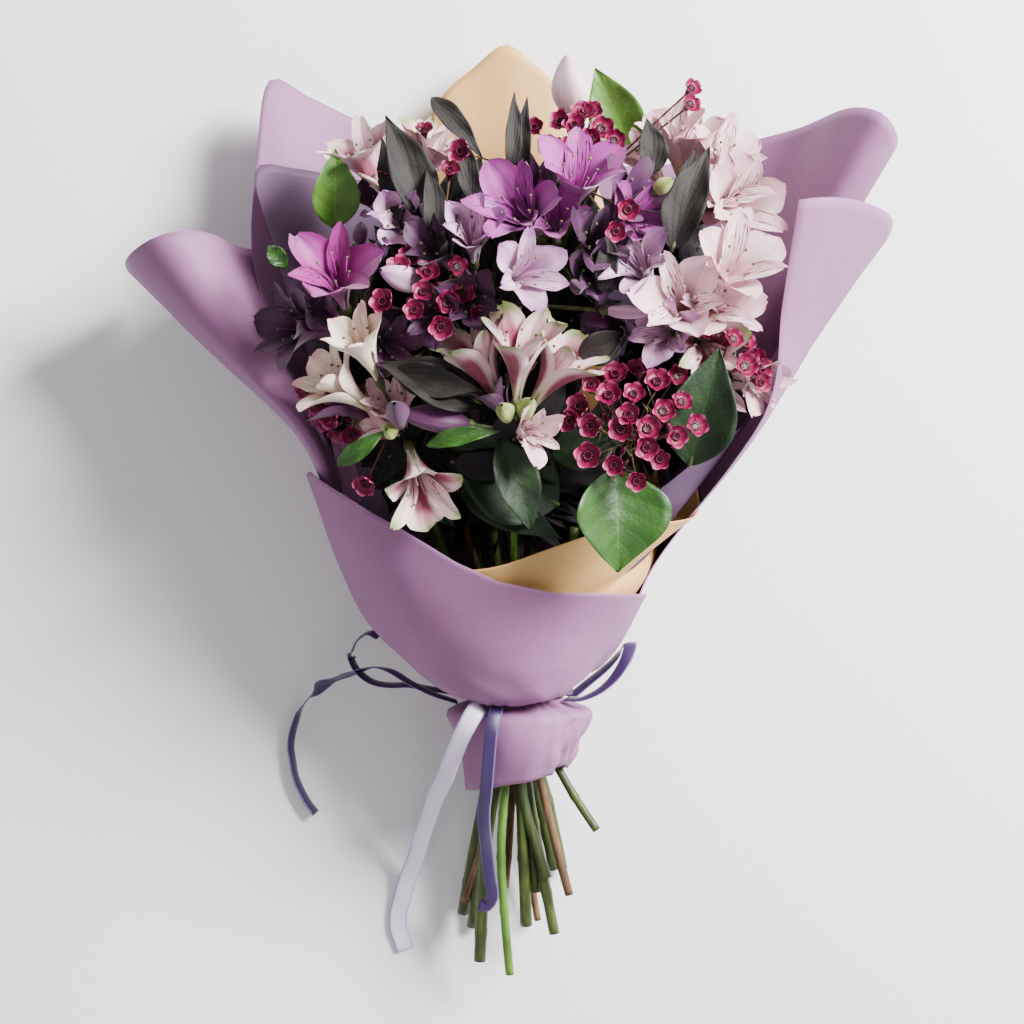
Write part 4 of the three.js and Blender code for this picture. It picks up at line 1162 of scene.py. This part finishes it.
def make_waxflower(settings):
    """Sprays of blooms, with forked twigs, round buds and short needle leaves under them."""
    chance = random.Random("waxflower")
    blooms = {}
    twigs = Shape()
    for name, (stem, middle, radius, count) in SPRAYS.items():
        head, centre = head_of(stem), at(middle)
        axis = (centre - head).normalized()
        side = Vector((0, 0, 1)).cross(axis).normalized()
        rise = axis.cross(side)
        fork = centre - axis * radius * 1.1 * MM
        twigs.tube([head, head.lerp(fork, 0.5), fork], 0.0011, sides=6, slot=0)
        spots = []
        for i in range(count):
            out = radius * MM * math.sqrt((i + 0.5) / count)
            angle = i * GOLDEN_ANGLE
            place = centre + (side * math.cos(angle) + rise * math.sin(angle)) * out
            place -= axis * 0.35 * out * out / (radius * MM)
            place += Vector([chance.uniform(-0.0025, 0.0025) for _ in range(3)])
            way = ((place - fork).normalized() + Vector((0, 0, 0.9)) + Vector(
                [chance.uniform(-0.35, 0.35) for _ in range(3)])).normalized()
            scale = settings.waxflower_width / 2 * chance.uniform(0.82, 1.08)
            spots.append((place, way, scale))
            twig = smooth_path([fork, fork.lerp(place, 0.6) - axis * 0.002,
                                place - way * scale * 1.1], 8)
            twigs.tube(twig, 0.0005, sides=5, slot=0)
            for _ in range(2):
                spot = twig[chance.randrange(3, 7)]
                off = Vector([chance.uniform(-1, 1) for _ in range(3)]).normalized()
                bud = spot + off * 0.005
                twigs.tube([spot, bud], 0.0003, sides=4, slot=0)
                twigs.tube([bud, bud + off * 0.0009, bud + off * 0.0026, bud + off * 0.0034],
                           [0.0007, 0.0014, 0.0013, 0.0005], sides=7, slot=1)
            spot = twig[chance.randrange(1, 5)]
            off = (Vector([chance.uniform(-1, 1) for _ in range(3)]) + axis).normalized()
            twigs.tube([spot, spot + off * 0.006, spot + off * 0.013],
                       [0.0004, 0.0005, 0.0002], sides=4, slot=2)
        blooms[name] = spots
    lone = []
    for stem, place in LONE_BLOOMS:
        spot, head = at(place), head_of(stem)
        way = ((spot - head).normalized() + Vector((0, 0, 0.8))).normalized()
        scale = settings.waxflower_width / 2 * chance.uniform(0.7, 1.0)
        lone.append((spot, way, scale))
        twigs.tube(smooth_path([head, head.lerp(spot, 0.6), spot - way * scale], 8), 0.0006,
                   sides=5, slot=0)
    for seed, (name, spots) in enumerate(blooms.items()):
        place_blooms(f"waxflower_{name[4:]}", spots, seed, "waxflower", name)
    place_blooms("waxflower_between", lone, 9, "waxflower")
    piece = merged(twigs.build("waxflower_twigs", [
        finishes["bark"], finishes["waxflower"], finishes["stalk"]]))
    return settle(piece, "woody_stem")


# ---- Leaves between the flowers ---------------------------------------------------------

# Leaves with no CAD part: base and tip in mm, half width in mm, finish.
LOOSE_LEAVES = (
    ((-42, 217, 112), (-15, 183, 124), 6, "narrow leaf"),
    ((-1, 176, 132), (1, 219, 116), 4.5, "narrow leaf"),
    ((6, 172, 130), (8, 216, 118), 5, "narrow leaf"), ((-90, 24, 138), (-64, 42, 146), 5, "salal"),
    ((-44, 34, 146), (-6, 41, 152), 5, "salal"), ((-60, 72, 148), (-16, 62, 152), 9, "narrow leaf"),
    ((-38, 134, 140), (-44, 180, 128), 7, "narrow leaf"),
    ((-58, 150, 126), (-68, 196, 112), 6, "narrow leaf"),
    ((46, 112, 150), (50, 146, 150), 6, "narrow leaf"),
    ((34, 80, 150), (60, 92, 148), 9, "narrow leaf"),
    ((-30, 20, 100), (26, -14, 118), 12, "dark salal"),
    ((-64, 20, 104), (-30, -8, 112), 11, "dark salal"),
    ((20, 30, 128), (60, 40, 132), 13, "dark salal"),
    ((-44, 52, 124), (-4, 34, 132), 10, "dark salal"),
    ((-6, 38, 142), (10, -10, 136), 12, "dark salal"),
    ((-118, 128, 110), (-128, 140, 108), 5, "salal"),
    ((74, 176, 120), (70, 205, 118), 8, "narrow leaf"),
    ((-20, 160, 128), (-26, 196, 118), 6, "narrow leaf"),
    ((88, 150, 128), (96, 190, 118), 7, "narrow leaf"),
)


def make_loose_leaves():
    pieces = []
    for finish, slot in (("narrow leaf", "narrow_leaf"), ("salal", "salal_leaf"),
                         ("dark salal", "salal_leaf")):
        shape = Shape()
        for i, (base, tip, half, own) in enumerate(LOOSE_LEAVES):
            if own == finish:
                up = Vector((0.3 * math.sin(i * 2.4), 0.3 * math.cos(i * 1.7), 1))
                wide = finish != "narrow leaf"
                shape.grid(leaf_rows(at(base), at(tip), half * MM, up, 0.004, 0.35,
                                     0.82 if wide else 0.7, 0.0007))
        piece = shape.build("leaves_between_" + finish.replace(" ", "_"), [finishes[finish]])
        pieces.append(settle(walled(piece, 0.0003), slot))
    return pieces


def make_understorey(settings):
    """Dark narrow leaves and bare stalks that close the gaps deep between the flowers."""
    chance = random.Random("understorey")
    leaves, stalks = Shape(), Shape()
    stems = ("blush", "cream", "lilac", "magenta", "violet", "pale", "rose", "shell", "salal")
    heads = [head_of(stem) for stem in stems]
    low = at((6, -40, 50))
    for i in range(settings.understorey_leaves):
        turned = i * GOLDEN_ANGLE
        out = math.sqrt((i + 0.5) / settings.understorey_leaves)
        deep = i % 3 == 0
        tip = at((4 + 112 * out * math.cos(turned), 84 + 112 * out * math.sin(turned),
                  128 - 46 * out * out + chance.uniform(-14, 4) - (26 if deep else 0)))
        head = min(heads, key=lambda spot: (spot - tip).length)
        root = head.lerp(low, chance.uniform(0.0, 0.25))
        way = (tip - root).normalized()
        base = tip - way * 0.001 * chance.uniform(32, 50)
        up = Vector([chance.uniform(-0.6, 0.6), chance.uniform(-0.6, 0.6), 1])
        half = 0.001 * chance.uniform(10, 14) if deep else 0.001 * chance.uniform(5, 9)
        leaves.grid(leaf_rows(base, tip, half, up, 0.005, 0.4, 0.7, 0.001, columns=5, levels=10))
        stalks.tube(smooth_path([root, root.lerp(base, 0.6), base], 7), 0.0009, sides=5)
    piece = walled(leaves.build("understorey_leaves", [finishes["deep leaf"]]), 0.00025)
    settle(piece, "narrow_leaf")
    return settle(merged(stalks.build("understorey_stalks", [finishes["stalk"]])), "green_stem")


# ---- Stage ------------------------------------------------------------------------------


def make_stage(settings):
    lens = bpy.data.cameras.new("overhead_camera")
    lens.lens = 100
    lens.sensor_width = 36
    lens.clip_end = 20
    camera = bpy.data.objects.new("overhead_camera", lens)
    camera.location = (SHIFT.x, SHIFT.y, settings.camera_height)
    bpy.context.scene.collection.objects.link(camera)
    bpy.context.scene.camera = camera

    floor = Shape()
    floor.grid([[Vector((x, y, 0)) for x in (-4, 4)] for y in (-4, 4)])
    table = floor.build("table_top", [plain_stage("pale_grey_table", settings.table_colour)])

    def lamp(name, place, aim, size, power):
        light = bpy.data.lights.new(name, "AREA")
        light.shape = "SQUARE"
        light.size = size
        light.energy = power
        unit = bpy.data.objects.new(name, light)
        unit.location = place
        unit.rotation_euler = (Vector(aim) - Vector(place)).to_track_quat("-Z", "Y").to_euler()
        bpy.context.scene.collection.objects.link(unit)

    lamp("window_light", (1.35, 0.95, 1.2), (0, 0.04, 0.05), 0.85, settings.key_power)
    lamp("front_fill", (-0.5, -1.6, 1.9), (0, 0.04, 0.05), 1.8, settings.fill_power)
    world = bpy.data.worlds.new("soft_room")
    world.use_nodes = True
    sky = world.node_tree.nodes["Background"]
    sky.inputs["Color"].default_value = (*srgb("#f4f3f6"), 1)
    sky.inputs["Strength"].default_value = settings.room_light
    bpy.context.scene.world = world


# ---- Add-on -----------------------------------------------------------------------------


def length(name, description, default, low, high):
    return FloatProperty(name=name, description=description, default=default, min=low, max=high,
                         subtype="DISTANCE", unit="LENGTH", precision=5)


def shade(name, description, default):
    return FloatVectorProperty(name=name, description=description, default=srgb(default),
                               subtype="COLOR", size=3, min=0, max=1)


class BouquetSettings(bpy.types.PropertyGroup):
    """Sizes and colours of the bouquet."""

    paper_thickness: length("Paper thickness", "Thickness of each wrapping sheet", 0.00028,
                            0.0001, 0.001)
    paper_dent: length("Paper dents", "How deep the soft dents in the open paper go", 0.0007,
                       0, 0.002)
    pleat_depth: length("Pleat depth", "How deep the pleats at the tie go", 0.0022, 0, 0.003)
    ribbon_thickness: length("Ribbon thickness", "Thickness of the satin ribbon", 0.00035,
                             0.0001, 0.001)
    ribbon_cup: length("Ribbon cup", "How far the ribbon bows across its width", 0.0005, 0, 0.001)
    tepal_length: length("Tepal length", "Length of an alstroemeria tepal", 0.044, 0.03, 0.06)
    waxflower_width: length("Waxflower width", "Width of one waxflower bloom", 0.0135,
                            0.008, 0.018)
    camera_height: length("Camera height", "Height of the camera over the table", 1.6, 1, 3)
    understorey_leaves: IntProperty(
        name="Leaves underneath", description="Leaves that close the gaps under the flowers",
        default=420, min=20, max=900)
    paper_colour: shade("Paper colour", "Lilac wrapping paper", "#9b6b95")
    kraft_colour: shade("Kraft colour", "Unbleached kraft paper", "#e4b570")
    lilac_ribbon: shade("Lilac ribbon", "Pale satin ribbon", "#e6d8f2")
    violet_ribbon: shade("Violet ribbon", "Dark satin ribbon", "#2e1b46")
    table_colour: shade("Table colour", "Table under the bouquet", "#fbfbfb")
    key_power: FloatProperty(name="Window light", description="Power of the window light",
                             default=185, min=0, max=500, subtype="POWER")
    fill_power: FloatProperty(name="Fill light", description="Power of the fill light",
                              default=7, min=0, max=500, subtype="POWER")
    room_light: FloatProperty(name="Room light", description="Strength of the light all round",
                              default=0.54, min=0, max=3)


class BouquetOperator:
    """Shared by the operators: runs one builder with the scene's settings."""

    bl_options = {"REGISTER", "UNDO"}

    def execute(self, context):
        if not finishes:
            make_finishes(context.scene.bouquet)
        self.make(context.scene.bouquet)
        return {"FINISHED"}


class BOUQUET_OT_stage(BouquetOperator, bpy.types.Operator):
    """Set up the camera, the table and the lights"""

    bl_idname = "bouquet.stage"
    bl_label = "Stage"

    def make(self, settings):
        make_stage(settings)


class BOUQUET_OT_ribbons(BouquetOperator, bpy.types.Operator):
    """Add the ribbon tails, the loops of the bow and the knot round the tie"""

    bl_idname = "bouquet.ribbons"
    bl_label = "Ribbons"

    def make(self, settings):
        for name in RIBBONS:
            lilac = name in ("ribbon_tail_lilac", "bow_loop_left")
            tint = "lilac" if lilac and "tail" in name else "violet"
            make_ribbon(name, f"{tint} ribbon", "lilac_ribbon" if lilac else "violet_ribbon", settings)
        make_knot(settings)


class BOUQUET_OT_paper(BouquetOperator, bpy.types.Operator):
    """Add the five sheets of wrapping paper"""

    bl_idname = "bouquet.paper"
    bl_label = "Wrapping paper"

    def make(self, settings):
        for name, flat, area in SHEET_SIZES:
            kraft = name == "paper_kraft"
            # paper_inner takes the darker paper, which is painted shade.
            finish = "kraft" if kraft else "dark" if name == "paper_inner" else "lilac"
            slot = "kraft_paper" if kraft else "lilac_paper"
            make_sheet(name, f"{finish} paper", slot, settings)


class BOUQUET_OT_stems(BouquetOperator, bpy.types.Operator):
    """Add the stems below and inside the wrapping"""

    bl_idname = "bouquet.stems"
    bl_label = "Stems"

    def make(self, settings):
        for node in frame["nodes"]:
            if node.startswith("stem_"):
                name = node[5:]
                woody = name.startswith("wax_") or name == "salal"
                finish = "bark" if woody else "bright stem" if name == "blush" else "stem"
                make_stem(name, finish, slot_of(node))
        make_stems_between()


class BOUQUET_OT_flowers(BouquetOperator, bpy.types.Operator):
    """Add the alstroemeria flowers and buds"""

    bl_idname = "bouquet.flowers"
    bl_label = "Alstroemeria"

    def make(self, settings):
        for name in FLORETS:
            make_floret(name, settings)
        make_filling_florets(settings)
        for node in BUDS:
            make_bud(node)
        make_small_buds()


class BOUQUET_OT_waxflower(BouquetOperator, bpy.types.Operator):
    """Add the sprays of waxflower with their twigs"""

    bl_idname = "bouquet.waxflower"
    bl_label = "Waxflower"

    def make(self, settings):
        make_waxflower(settings)


class BOUQUET_OT_leaves(BouquetOperator, bpy.types.Operator):
    """Add the salal and alstroemeria leaves"""

    bl_idname = "bouquet.leaves"
    bl_label = "Leaves"

    def make(self, settings):
        for node in frame["nodes"]:
            if node.startswith("leaf_salal"):
                kinds = {"2": "dark salal", "5": "dark salal", "3": "young salal", "4": "young salal"}
                make_leaf(node, kinds.get(node[-1], "salal"), "salal_leaf", True)
            elif node.startswith("leaf_narrow"):
                make_leaf(node, "narrow leaf", "narrow_leaf", False)
        make_loose_leaves()
        make_understorey(settings)


OPERATORS = (
    BOUQUET_OT_stage, BOUQUET_OT_ribbons, BOUQUET_OT_paper, BOUQUET_OT_stems,
    BOUQUET_OT_flowers, BOUQUET_OT_waxflower, BOUQUET_OT_leaves,
)


class BOUQUET_PT_panel(bpy.types.Panel):
    """Lists the bouquet's settings and operators"""

    bl_idname = "BOUQUET_PT_panel"
    bl_label = "Bouquet"
    bl_space_type = "VIEW_3D"
    bl_region_type = "UI"
    bl_category = "Bouquet"

    def draw(self, context):
        column = self.layout.column(align=True)
        for name in BouquetSettings.__annotations__:
            column.prop(context.scene.bouquet, name)
        for operator in OPERATORS:
            column.operator(operator.bl_idname)


CLASSES = (BouquetSettings, *OPERATORS, BOUQUET_PT_panel)


def register():
    for item in CLASSES:
        bpy.utils.register_class(item)
    bpy.types.Scene.bouquet = PointerProperty(type=BouquetSettings)


def unregister():
    del bpy.types.Scene.bouquet
    for item in reversed(CLASSES):
        bpy.utils.unregister_class(item)


def main():
    register()
    for operator in OPERATORS:
        group, name = operator.bl_idname.split(".")
        getattr(getattr(bpy.ops, group), name)()


if __name__ == "__main__":
    main()
